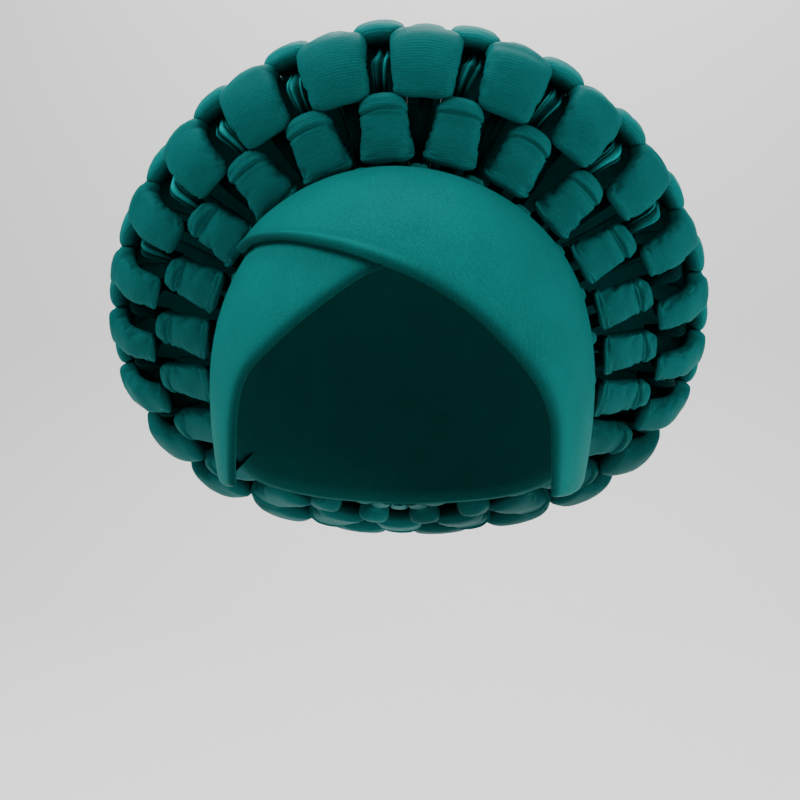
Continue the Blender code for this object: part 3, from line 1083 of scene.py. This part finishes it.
@dataclass
class PuffStrips:
    """The padded strips of the halo: each puffs out over its neighbours in every second row.

    A pair of numbers is a span: where an effect starts and where it is complete, or its least and largest.
    """

    halo: HaloForm
    folds: FoldStyle = FoldStyle()
    light: StripLight = StripLight()
    sides: int = 40
    tack_gap: float = 0.0003
    seam_gap: float = 0.00006
    neck_thickness: float = 4.6
    waist_mm: float = 2.6
    underside_mm: float = -1.6
    row_step: float = 0.046
    back_step: float = 0.12
    least_step: float = 0.0011
    end_samples_mm: tuple[float, ...] = (0.04, 0.18, 0.42, 0.8, 1.3, 1.9, 2.7, 3.6, 4.6, 5.8, 7.2)
    outside_rows: tuple[float, float] = (0.01, 0.06)
    front_rows_end: float = -1.0
    back_inset: float = 0.05
    heading_span: float = 0.04
    guide_tilt: float = 0.4
    low_cosine: tuple[float, float] = (0.05, 0.55)
    flattens_over: tuple[float, float] = (0.2, 0.8)
    narrows_over: tuple[float, float] = (0.1, 0.5)
    turns_behind: tuple[float, float] = (-0.55, -1.05)
    seam_row: float = -0.4
    tuck_mm: float = 4.0
    tuck_reach_mm: float = 9.5
    tuck_from_mm: float = 6.5
    tuck_full_mm: float = -4.5
    rim_row: float = -0.35
    sway_share: float = 0.09
    sway_until: float = 3.2
    sway_middle: float = 0.9
    sway_rate: float = 2.6
    sway_least: float = 0.6
    sway_puffed: tuple[float, float] = (0.4, 0.0)
    sway_from: tuple[float, float] = (0.0, 0.3)
    side_flattening: float = 0.46
    side_narrowing: float = 0.36
    odd_narrowing: float = 0.12
    low_fullness: float = 0.8
    plumpness: tuple[float, float] = (0.88, 0.96)
    width_range: tuple[float, float] = (0.985, 1.01)
    loose_puffed: tuple[float, float] = (0.15, 0.65)
    loose_upper: tuple[float, float] = (-0.45, 0.15)
    loose_rows: tuple[float, float] = (-0.6, -0.1)
    loose_from_end: tuple[float, float] = (0.15, 0.45)
    least_half_mm: float = 2.0
    filled_share: float = 0.985
    least_room: float = 0.2
    boxiness: float = 0.62
    boxier_behind: float = 0.18
    cloth_radius: float = 0.008
    seed: int = 4127

    def rows_of(self, plan: StripPlan, front: float, back: float) -> np.ndarray:
        """Row numbers of the rings of a strip.

        Args:
            plan: Where the strip puffs.
            front: Row number of the front end.
            back: Row number of the back end.

        Returns:
            Row numbers from front to back, closest together where puffs close.
        """
        pitch = self.halo.row_pitch / MM
        wanted = [np.arange(self.front_rows_end, front, self.row_step),
                  np.arange(back + self.back_inset, self.front_rows_end, self.back_step), [front, back]]
        near = np.array(self.end_samples_mm) / pitch
        beyond = np.array(self.outside_rows)
        for puff in plan.puffs:
            ends = ((puff.outer_row, puff.outer_end, 1.0), (puff.inner_row, puff.inner_end, -1.0))
            for row, end, inward in ends:
                if end in CLOSED_ENDS:
                    wanted += [row + inward * near, row - inward * beyond]
        if plan is ODD_PLAN:
            wanted.append(self.folds.crease_samples())
        rows = np.sort(np.concatenate(wanted))[::-1]
        rows = rows[(rows <= front) & (rows >= back)]
        keep = [0]
        for place in range(1, len(rows)):
            if rows[keep[-1]] - rows[place] > self.least_step:
                keep.append(place)
        rows = rows[keep]
        rows[-1] = back
        return rows

    def place_of(self, index: int) -> StripPlace:
        """Find where one strip stands and which ways are up, sideways and toward the rim.

        Args:
            index: The strip's number, clockwise from the top as seen from the front.

        Returns:
            The strip's place.
        """
        halo = self.halo
        share = halo.strip_share(index)
        front, back = halo.ends(share)
        rows = self.rows_of(ODD_PLAN if index % 2 == 1 else EVEN_PLAN, front, back)
        middle = halo.point(share, rows)
        to_left = halo.point(halo.strip_share(index - 1), rows) - middle
        to_right = halo.point(halo.strip_share(index + 1), rows) - middle
        side = unit(to_right - to_left)
        span = self.heading_span
        toward_rim = unit(halo.point(share, rows - span) - halo.point(share, rows + span))
        lift = unit(np.cross(toward_rim, side))
        _, outward, forward = halo.frame(np.array(share))
        tilted = outward * self.guide_tilt
        guide = np.where((rows > 0.0)[:, None], tilted + forward, tilted - forward)
        lift *= np.sign((lift * guide).sum(-1, keepdims=True))
        turn = FULL_TURN * share
        low = float(eased(-math.cos(turn), *self.low_cosine))
        at_side = math.sin(turn) ** 2 * (1.0 - self.low_fullness * low)
        return StripPlace(index, share, front, rows, middle, to_left, to_right, side, toward_rim, lift,
                          low, at_side)

    def section_of(self, place: StripPlace, rng: np.random.Generator) -> StripSection:
        """Work out the widths and heights of a strip.

        Args:
            place: Where the strip stands.
            rng: The seeded source of variation.

        Returns:
            The strip's section at each row.
        """
        rows, plan = place.rows, place.plan
        pitch = self.halo.row_pitch / MM
        width, top = plan.neck_shape(rows)
        middle = top - self.neck_thickness / 2
        under = top - self.neck_thickness
        puffed = np.zeros_like(rows)
        flatter = self.side_flattening * place.at_side * eased(rows, *self.flattens_over)
        plump = rng.uniform(*self.plumpness) * (1.0 - flatter)
        narrower = (self.odd_narrowing if place.odd else self.side_narrowing) * place.at_side
        slim = 1.0 - narrower * eased(rows, *self.narrows_over)
        room = np.maximum(self.filled_share - place.other_plan.puff_width(rows, pitch), self.least_room)
        for puff in plan.puffs:
            of_width = puff.fullness(rows, pitch, of_width=True)
            of_height = puff.fullness(rows, pitch, of_width=False)
            shape_width = ease_through(puff.shape, rows, 1) * rng.uniform(*self.width_range) * slim
            full_width = shape_width * of_width
            full_width = np.where(puff.yields(rows), np.minimum(full_width, room), full_width)
            in_front = np.maximum(width * (1.0 - of_width), full_width)
            behind_rim = width + (shape_width - width) * of_width
            width = np.where(of_height > 0.0, np.where(rows < self.rim_row, behind_rim, in_front), width)
            top = top + (ease_through(puff.shape, rows, 2) * plump - top) * of_height
            middle = middle + (self.waist_mm - middle) * of_height
            under = under + (self.underside_mm - under) * of_height
            puffed = np.maximum(puffed, of_height)
        behind = self.behind(rows)
        middle = middle * (1.0 - behind)
        under = under + (-self.neck_thickness / 2 - under) * behind
        gap = np.where(rows < self.seam_row, self.seam_gap, self.tack_gap)
        return StripSection(width * (1.0 - gap / place.spacing), top, middle, under, puffed)

    def behind(self, rows: np.ndarray) -> np.ndarray:
        """How far each row has passed over the rim to the back, from 0 to 1."""
        return eased(rows, *self.turns_behind)

    def drift_of(self, place: StripPlace, puffed: np.ndarray, rng: np.random.Generator) -> np.ndarray:
        """How far a strip's gathered stretches lean to one side.

        Args:
            place: Where the strip stands.
            puffed: How full the strip is at each row.
            rng: The seeded source of variation.

        Returns:
            The sideways movement of its middle line.
        """
        rows = place.rows
        lean = rng.choice([-1.0, 1.0]) * rng.uniform(self.sway_least, 1.0) * self.sway_share
        sway = lean * np.sin((rows - self.sway_middle) * self.sway_rate)
        sway = sway * eased(puffed, *self.sway_puffed) * eased(rows, *self.sway_from)
        sway = np.where(rows < self.sway_until, sway, 0.0)[:, None]
        return np.where(sway >= 0.0, place.to_right * sway, -place.to_left * sway)

    def tuck(self, plan: StripPlan, rows: np.ndarray, height: np.ndarray) -> np.ndarray:
        """How far the cloth under each closed end is drawn back beneath its puff.

        Args:
            plan: Where the strip puffs.
            rows: Row numbers, as a column.
            height: Heights in millimetres over the grid.

        Returns:
            Distances in metres toward the rim.
        """
        pitch = self.halo.row_pitch / MM
        depth = eased(height, self.tuck_from_mm, self.tuck_full_mm)
        shift = np.zeros_like(height)
        for puff in plan.puffs:
            ends = ((puff.outer_row, puff.outer_end, -1.0), (puff.inner_row, puff.inner_end, 1.0))
            for row, end, way in ends:
                if end in CLOSED_ENDS:
                    near = eased(np.abs(rows - row) * pitch, self.tuck_reach_mm, 0.0)
                    shift += way * self.tuck_mm * near * depth
        return shift * MM

    def lay_out(self, index: int) -> StripForm:
        """Work out one strip's form before its cloth settles.

        Args:
            index: The strip's number, clockwise from the top as seen from the front.

        Returns:
            The strip's form.
        """
        rng = np.random.default_rng(self.seed + index)
        place = self.place_of(index)
        section = self.section_of(place, rng)
        line = place.middle + self.drift_of(place, section.puffed, rng)
        rows, puffed = place.rows[:, None], section.puffed[:, None]
        around = np.linspace(0.0, FULL_TURN, self.sides, endpoint=False)[None, :]
        boxy = self.boxiness - self.boxier_behind * self.behind(rows)
        across = np.sign(np.cos(around)) * np.abs(np.cos(around)) ** boxy
        up = np.sign(np.sin(around)) * np.abs(np.sin(around)) ** boxy
        above, below = section.top - section.middle, section.middle - section.under
        crown = np.where(up >= 0.0, above[:, None], below[:, None])
        relief = self.folds.height(rows, around, puffed, place.odd, rng)
        half_mm = np.maximum(section.reach * place.spacing / MM, self.least_half_mm)[:, None]
        sideways = np.where(across[..., None] >= 0.0, place.to_right[:, None, :], -place.to_left[:, None, :])
        layers = []
        for pressed in (np.zeros_like(relief), relief):
            height = section.middle[:, None] + up * crown + pressed * np.sin(around)
            tucked = self.tuck(place.plan, rows, height)
            pinch = np.minimum(pressed * np.cos(around) ** 2, 0.0) / half_mm
            spread = across * section.reach[:, None] * (1.0 + pinch)
            layers.append(line[:, None, :] + place.lift[:, None, :] * (height * MM)[..., None]
                          + sideways * spread[..., None] + place.toward_rim[:, None, :] * tucked[..., None])
        shade = self.light.paint(place, height, relief, around, tucked / (self.tuck_mm * MM))
        loose = eased(puffed, *self.loose_puffed) * eased(np.sin(around), *self.loose_upper)
        loose = loose * eased(rows, *self.loose_rows) * eased(place.front - rows, *self.loose_from_end)
        return StripForm(index, place.share, place.rows, layers[0], layers[1], shade, loose, place.side,
                         place.lift, place.toward_rim, np.sign(across))

    def finish(self, form: StripForm, moved: np.ndarray, material: bpy.types.Material) -> bpy.types.Object:
        """Args:
            form: The strip's form.
            moved: How far its cloth has settled at each point, in metres.
            material: Its cloth.

        Returns:
            The strip.
        """
        rings = form.creased + moved
        heading = self.halo.heading(np.array(form.share))
        seat = self.halo.head.cap_wall + self.halo.seat_gap
        for ring in (0, -1):
            gap = self.halo.head.travel(rings[ring], heading, seat)
            rings[ring] = rings[ring] + heading * gap[:, None]
        girth = np.linspace(0.0, FULL_TURN, self.sides + 1) * self.cloth_radius
        middle = rings.mean(axis=1)
        along = np.concatenate([[0.0], np.cumsum(np.linalg.norm(np.diff(middle, axis=0), axis=1))])
        name = "strip_%02d" % form.index
        piece = tube_mesh(name + "_puffed", rings[:, ::-1], girth, along, form.shade[:, ::-1])
        piece.data.materials.append(material)
        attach(piece, "root")
        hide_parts(name)
        return piece

    def build(self) -> list[bpy.types.Object]:
        """Build all the strips with one cloth."""
        material = PUFF_SATIN.build()
        forms = [self.lay_out(index) for index in range(2 * self.halo.pairs)]
        settled = ClothSettler().settle(forms)
        return [self.finish(form, moved, material) for form, moved in zip(forms, settled)]


@dataclass
class CrossedBand:
    """One of the two padded bands that cross over the forehead."""

    halo: HaloForm
    side: Side
    edge: tuple[tuple[float, float, float, float], ...]
    wall: float = 0.0038
    roll: float = 0.0056
    seat: float = 0.0010
    lift_step: float = 0.0052
    standoff: float = 0.0098
    mean_radius: float = 0.098
    edge_offset: float = 0.006
    full_reach: float = 0.020
    least_share: float = 0.05
    bead_place: float = 0.0026
    bead_width: float = 0.0028
    groove_place: float = 0.0068
    groove_width: float = 0.0015
    groove_depth: float = 0.0004
    hem_rounding: float = 0.0050
    smooth_rounding: float = 0.0085
    rear_rounding: float = 0.0024
    end_rounding: float = 0.003
    swell: float = 0.00030
    soft_hem: float = 0.2
    hem_fades: tuple[float, float] = (0.36, 0.54)
    # Painted shade on the band's hidden inner faces
    hidden_painted_shade: float = 0.6
    # Painted shade in the groove, and along the free edge where it turns under: width in metres and strength
    groove_painted_shade: float = 0.10
    hem_edge_painted_shade: tuple[float, float] = (0.0022, 0.50)
    smooth_edge_painted_shade: tuple[float, float] = (0.0052, 0.68)
    lining_start: float = 0.3
    cloth_end: float = 0.6
    swell_rates: tuple[float, float] = (9.0, 28.0)
    swell_waves: int = 6
    least_end: float = 0.02
    stations: int = 230
    columns: int = 54
    edge_steps: tuple[float, ...] = (0.0, 0.2, 0.5, 0.9, 1.4, 2.0, 2.8, 3.7, 4.7, 5.8, 7.0, 8.5, 10.0)
    rear_steps: tuple[float, ...] = (3.2, 2.2, 1.4, 0.8, 0.35, 0.0)

    def rows_along(self) -> np.ndarray:
        """The edge table read along a smooth curve at every station.

        Returns:
            Azimuth, elevation, halo share and lift at each station.
        """
        table = np.array(self.edge)
        padded = np.vstack([2 * table[0] - table[1], table, 2 * table[-1] - table[-2]])
        at = np.linspace(0.0, len(table) - 1.0, self.stations)
        low = np.minimum(at.astype(int), len(table) - 2)
        t = (at - low)[:, None]
        p, q, r, s = (padded[low + step] for step in range(4))
        bend = (2 * p - 5 * q + 4 * r - s) * t ** 2 + (3 * q - p - 3 * r + s) * t ** 3
        return 0.5 * (2 * q + (r - p) * t + bend)

    def hem_share(self) -> np.ndarray:
        """How strongly the free edge is rolled: plainly up to the crossing, softly beyond it."""
        along = np.linspace(0.0, 1.0, self.stations)[:, None]
        if self.side is Side.UNDER:
            return np.full_like(along, self.soft_hem)
        return 1.0 - (1.0 - self.soft_hem) * eased(along, *self.hem_fades)

    def variation(self) -> np.random.Generator:
        """The band's own seeded source of variation."""
        return np.random.default_rng(77 if self.side is Side.OVER else 91)

    def build(self, material: bpy.types.Material) -> bpy.types.Object:
        """Build the band.

        Args:
            material: Its cloth.

        Returns:
            The band.
        """
        head = self.halo.head
        rows = self.rows_along()
        turn, rise = np.radians(rows[:, 0]), np.radians(rows[:, 1])
        free = np.stack([np.cos(rise) * np.sin(turn), -np.cos(rise) * np.cos(turn), np.sin(rise)], axis=-1)
        rear = self.halo.rear_edge(rows[:, 2], self.standoff)
        arc = np.arccos(np.clip((free * rear).sum(-1), -1.0, 1.0))
        reach = arc * self.mean_radius
        small = np.clip(reach / self.full_reach, self.least_share, 1.0)
        start = np.array(self.edge_steps) * MM
        end = np.array(self.rear_steps) * MM
        inner_count = self.columns - len(start) - len(end)
        part = np.linspace(0.0, 1.0, inner_count + 2)[1:-1]
        near = start[None, :] * small[:, None]
        far = reach[:, None] - end[None, :] * small[:, None]
        between = near[:, -1:] + (far[:, :1] - near[:, -1:]) * part[None, :]
        distance = np.concatenate([near, between, far], axis=1)
        share = distance / reach[:, None]
        sine = np.sin(arc)[:, None]
        from_free = (np.sin((1 - share) * arc[:, None]) / sine)[..., None]
        from_rear = (np.sin(share * arc[:, None]) / sine)[..., None]
        way = free[:, None, :] * from_free + rear[:, None, :] * from_rear
        hem = self.hem_share()
        rolled = small[:, None] * hem
        bead = np.exp(-((distance - self.bead_place) / self.bead_width) ** 2) * rolled
        groove = np.exp(-((distance - self.groove_place) / self.groove_width) ** 2) * rolled
        wall = self.wall + (self.roll - self.wall) * bead - self.groove_depth * groove
        at_front = distance < reach[:, None] / 2
        front_rounding = self.smooth_rounding - (self.smooth_rounding - self.hem_rounding) * hem
        rounding = np.where(at_front, front_rounding, self.rear_rounding) * small[:, None]
        from_edge = np.minimum(distance, reach[:, None] - distance)
        close = np.sqrt(1.0 - (1.0 - np.clip(from_edge / rounding, 0.0, 1.0)) ** 2)
        steps = np.linalg.norm(np.diff(head.surface(free, self.edge_offset), axis=0), axis=1)
        length = np.concatenate([[0.0], np.cumsum(steps)])
        from_end = np.minimum(length, length[-1] - length)[:, None]
        close = close * np.sqrt(1.0 - (1.0 - np.clip(from_end / self.end_rounding, self.least_end, 1.0)) ** 2)
        along, inward = self.swell_rates
        swell = wavy(length[:, None] * along, distance * inward, self.variation(), self.swell_waves)
        swell = swell * self.swell
        middle = head.cap_wall + self.seat + rows[:, 3:4] * self.lift_step + wall / 2
        outer = head.surface(way, middle + (wall / 2 + swell) * close)
        inner = head.surface(way, middle - wall / 2 * close)
        rings = np.concatenate([outer, inner[:, ::-1][:, 1:-1]], axis=1)
        mean = distance.mean(axis=0)
        around = np.concatenate([mean, mean[::-1][1:-1] + self.lining_start, [self.cloth_end]])
        # Painted shade: darker in the groove and along the free edge as it turns under, and on the hidden
        # inner faces
        (smooth_width, smooth_loss), (hem_width, hem_loss) = self.smooth_edge_painted_shade, self.hem_edge_painted_shade
        edge_width = smooth_width + (hem_width - smooth_width) * hem
        edge_painted_shade = smooth_loss + (hem_loss - smooth_loss) * hem
        face = 1.0 - self.groove_painted_shade * groove - edge_painted_shade * np.exp(-(distance / edge_width) ** 2)
        hidden = np.full((len(face), rings.shape[1] - face.shape[1]), self.hidden_painted_shade)
        shade = np.concatenate([face, hidden], axis=1)
        piece = tube_mesh(self.side.value + "_padded", rings, around, length, shade)
        piece.data.materials.append(material)
        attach(piece, "root")
        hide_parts(self.side.value)
        return piece


OVER_EDGE = (
    # azimuth, elevation, halo_share, lift
    (-71.0, 35.2, -0.137, 1.0), (-58.0, 36.5, -0.127, 1.0), (-42.0, 36.0, -0.114, 1.0),
    (-30.0, 34.5, -0.093, 1.0), (-18.0, 32.0, -0.066, 1.0), (-7.0, 29.0, -0.034, 1.0),
    (4.0, 25.3, 0.000, 1.0), (14.0, 20.8, 0.034, 1.0), (23.5, 15.0, 0.068, 1.0), (33.0, 7.5, 0.104, 1.0),
    (42.0, 0.0, 0.148, 0.9), (49.0, -6.0, 0.200, 0.6), (52.5, -13.0, 0.252, 0.4), (56.0, -20.5, 0.300, 0.3))
UNDER_EDGE = (
    # azimuth, elevation, halo_share, lift
    (68.0, 35.0, 0.134, 0.0), (57.0, 38.5, 0.128, 0.0), (41.0, 38.0, 0.110, 0.0), (28.0, 36.5, 0.090, 0.0),
    (16.0, 33.8, 0.064, 0.0), (4.0, 30.2, 0.032, 0.0), (-6.5, 26.6, 0.000, 0.0), (-16.0, 21.0, -0.034, 0.0),
    (-25.5, 15.0, -0.068, 0.0), (-35.0, 8.8, -0.104, 0.0), (-44.0, 3.0, -0.148, 0.0),
    (-50.0, -4.0, -0.200, 0.0), (-53.5, -11.5, -0.252, 0.0), (-58.0, -19.0, -0.300, 0.0))


@dataclass
class CloseCap:
    """The close cap that carries the halo and the bands."""

    head: HeadForm
    turns: int = 96
    levels: int = 40
    hem: float = 0.0007
    hem_share: float = 0.03
    lining_gap: float = 0.0001
    swell: float = 0.0002
    crown_rise: float = 89.4
    cloth_round: float = 0.55
    cloth_along: float = 0.30
    seed: int = 15
    edge: tuple[tuple[float, float], ...] = (
        # azimuth, elevation
        (0.0, 36.0), (30.0, 28.0), (60.0, 8.0), (90.0, -13.0), (120.0, -22.0), (150.0, -26.0), (180.0, -27.5))

    def build(self, material: bpy.types.Material) -> bpy.types.Object:
        """Build the cap.

        Args:
            material: Its cloth.

        Returns:
            The cap.
        """
        azimuth = np.linspace(-180.0, 180.0, self.turns, endpoint=False)
        low = ease_through(self.edge, np.abs(azimuth), 1)
        level = np.linspace(0.0, 1.0, self.levels)[None, :]
        rise = np.radians(low[:, None] + (self.crown_rise - low[:, None]) * level)
        turn = np.radians(azimuth)[:, None]
        way = np.stack([np.cos(rise) * np.sin(turn), -np.cos(rise) * np.cos(turn), np.sin(rise)], axis=-1)
        hem = self.hem * np.exp(-(level / self.hem_share) ** 2)
        swell = self.swell * wavy(turn * 2.0, rise * 3.0, np.random.default_rng(self.seed))
        outer = self.head.surface(way, self.head.cap_wall + hem + swell)
        inner = self.head.surface(way, self.lining_gap)
        loop = np.concatenate([inner[:, ::-1], outer], axis=1).transpose(1, 0, 2)
        around = np.linspace(0.0, self.cloth_round, self.turns + 1)
        along = np.linspace(0.0, self.cloth_along, 2 * self.levels)
        piece = tube_mesh("base_cap_cloth", loop, around, along)
        piece.data.materials.append(material)
        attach(piece, "root")
        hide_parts("base_cap")
        return piece


HEAD_MIDDLE = (0.0, 0.0, -HeadForm.crown)


@dataclass(frozen=True)
class Softbox:
    """A square soft light: its place, what it is turned to, its size in metres and its power in watts."""

    name: str
    place: tuple[float, float, float]
    aim: tuple[float, float, float]
    size: float
    power: float

    def build(self) -> None:
        """Add the light to the scene."""
        lamp = bpy.data.objects.new(self.name, bpy.data.lights.new(self.name, "AREA"))
        bpy.context.scene.collection.objects.link(lamp)
        lamp.data.shape = "SQUARE"
        lamp.data.size = self.size
        lamp.data.energy = self.power
        lamp.location = self.place
        lamp.rotation_euler = (Vector(self.aim) - lamp.location).to_track_quat("-Z", "Y").to_euler()


@dataclass
class Studio:
    """Plain pale paper sweep, soft lights and the camera."""

    head: HeadForm
    floor_drop: float = 0.47
    distance: float = 0.705
    yaw: float = math.radians(-3.2)
    eye_drop: float = 0.006
    lens: float = 70.4
    sensor: float = 36.0
    clip: tuple[float, float] = (0.02, 20.0)
    softboxes: tuple[Softbox, ...] = (
        Softbox("key_softbox", (-0.95, -0.55, 0.95), HEAD_MIDDLE, 0.7, 28.0),
        Softbox("fill_softbox", (1.30, -0.55, 0.10), HEAD_MIDDLE, 0.8, 18.0),
        Softbox("top_softbox", (0.05, 0.05, 1.30), HEAD_MIDDLE, 0.7, 18.0),
        Softbox("backdrop_wash", (0.1, 1.55, 1.75), (0.1, 2.05, -0.47), 1.6, 70.0))
    sweep_front: float = -3.0
    sweep_bend: float = 1.9
    sweep_radius: float = 0.5
    sweep_top: float = 4.0
    sweep_half_width: float = 5.0
    bend_steps: int = 16
    room_colour: str = "E6EAEA"
    room_strength: float = 0.35

    def build_sweep(self) -> bpy.types.Object:
        """Build the floor and backdrop as one bent sheet."""
        bend, radius = self.sweep_bend, self.sweep_radius
        profile = [(self.sweep_front, 0.0), (bend, 0.0)]
        for angle in np.linspace(0.1, math.pi / 2, self.bend_steps):
            profile.append((bend + radius * math.sin(angle), radius - radius * math.cos(angle)))
        profile.append((bend + radius, self.sweep_top))
        bpy.ops.object.select_all(action="DESELECT")
        bpy.ops.mesh.primitive_grid_add(x_subdivisions=2, y_subdivisions=len(profile) - 1, size=2.0)
        sweep = bpy.context.object
        sweep.name = "paper_sweep"
        ranks = sorted({round(v.co.y, 5) for v in sweep.data.vertices})
        for vertex in sweep.data.vertices:
            y, z = profile[ranks.index(round(vertex.co.y, 5))]
            vertex.co = Vector((vertex.co.x * self.sweep_half_width, y, z - self.floor_drop))
        for face in sweep.data.polygons:
            face.use_smooth = True
        sweep.data.materials.append(STUDIO_PAPER.build())
        return sweep

    def build(self) -> None:
        """Set up the sweep, lights, world and camera."""
        self.build_sweep()
        for softbox in self.softboxes:
            softbox.build()
        world = bpy.data.worlds.new("pale_room")
        bpy.context.scene.world = world
        world.use_nodes = True
        background = world.node_tree.nodes["Background"]
        background.inputs["Color"].default_value = linear(self.room_colour)
        background.inputs["Strength"].default_value = self.room_strength
        camera = bpy.data.objects.new("photo_camera", bpy.data.cameras.new("photo_camera"))
        bpy.context.scene.collection.objects.link(camera)
        camera.data.lens = self.lens
        camera.data.sensor_width = self.sensor
        camera.data.clip_start, camera.data.clip_end = self.clip
        ahead = Vector((math.sin(self.yaw), math.cos(self.yaw), 0.0))
        eye = Vector(self.head.centre) - ahead * self.distance
        camera.location = eye - Vector((0.0, 0.0, self.eye_drop))
        camera.rotation_euler = ahead.to_track_quat("-Z", "Y").to_euler()
        bpy.context.scene.camera = camera


def main() -> None:
    """Build the head tie's pieces in order and the studio round them."""
    logging.basicConfig(level=logging.INFO, format="%(name)s: %(message)s")
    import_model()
    head = HeadForm()
    halo = HaloForm(head)
    cap = CloseCap(head).build(CAP_JERSEY.build())
    LOG.info("%s: %d faces", cap.name, len(cap.data.polygons))
    cloth = BAND_SATIN.build()
    for side, edge in ((Side.UNDER, UNDER_EDGE), (Side.OVER, OVER_EDGE)):
        band = CrossedBand(halo, side, edge).build(cloth)
        LOG.info("%s: %d faces", band.name, len(band.data.polygons))
    for strip in PuffStrips(halo).build():
        LOG.info("%s: %d faces", strip.name, len(strip.data.polygons))
    Studio(head).build()


if __name__ == "__main__":
    main()
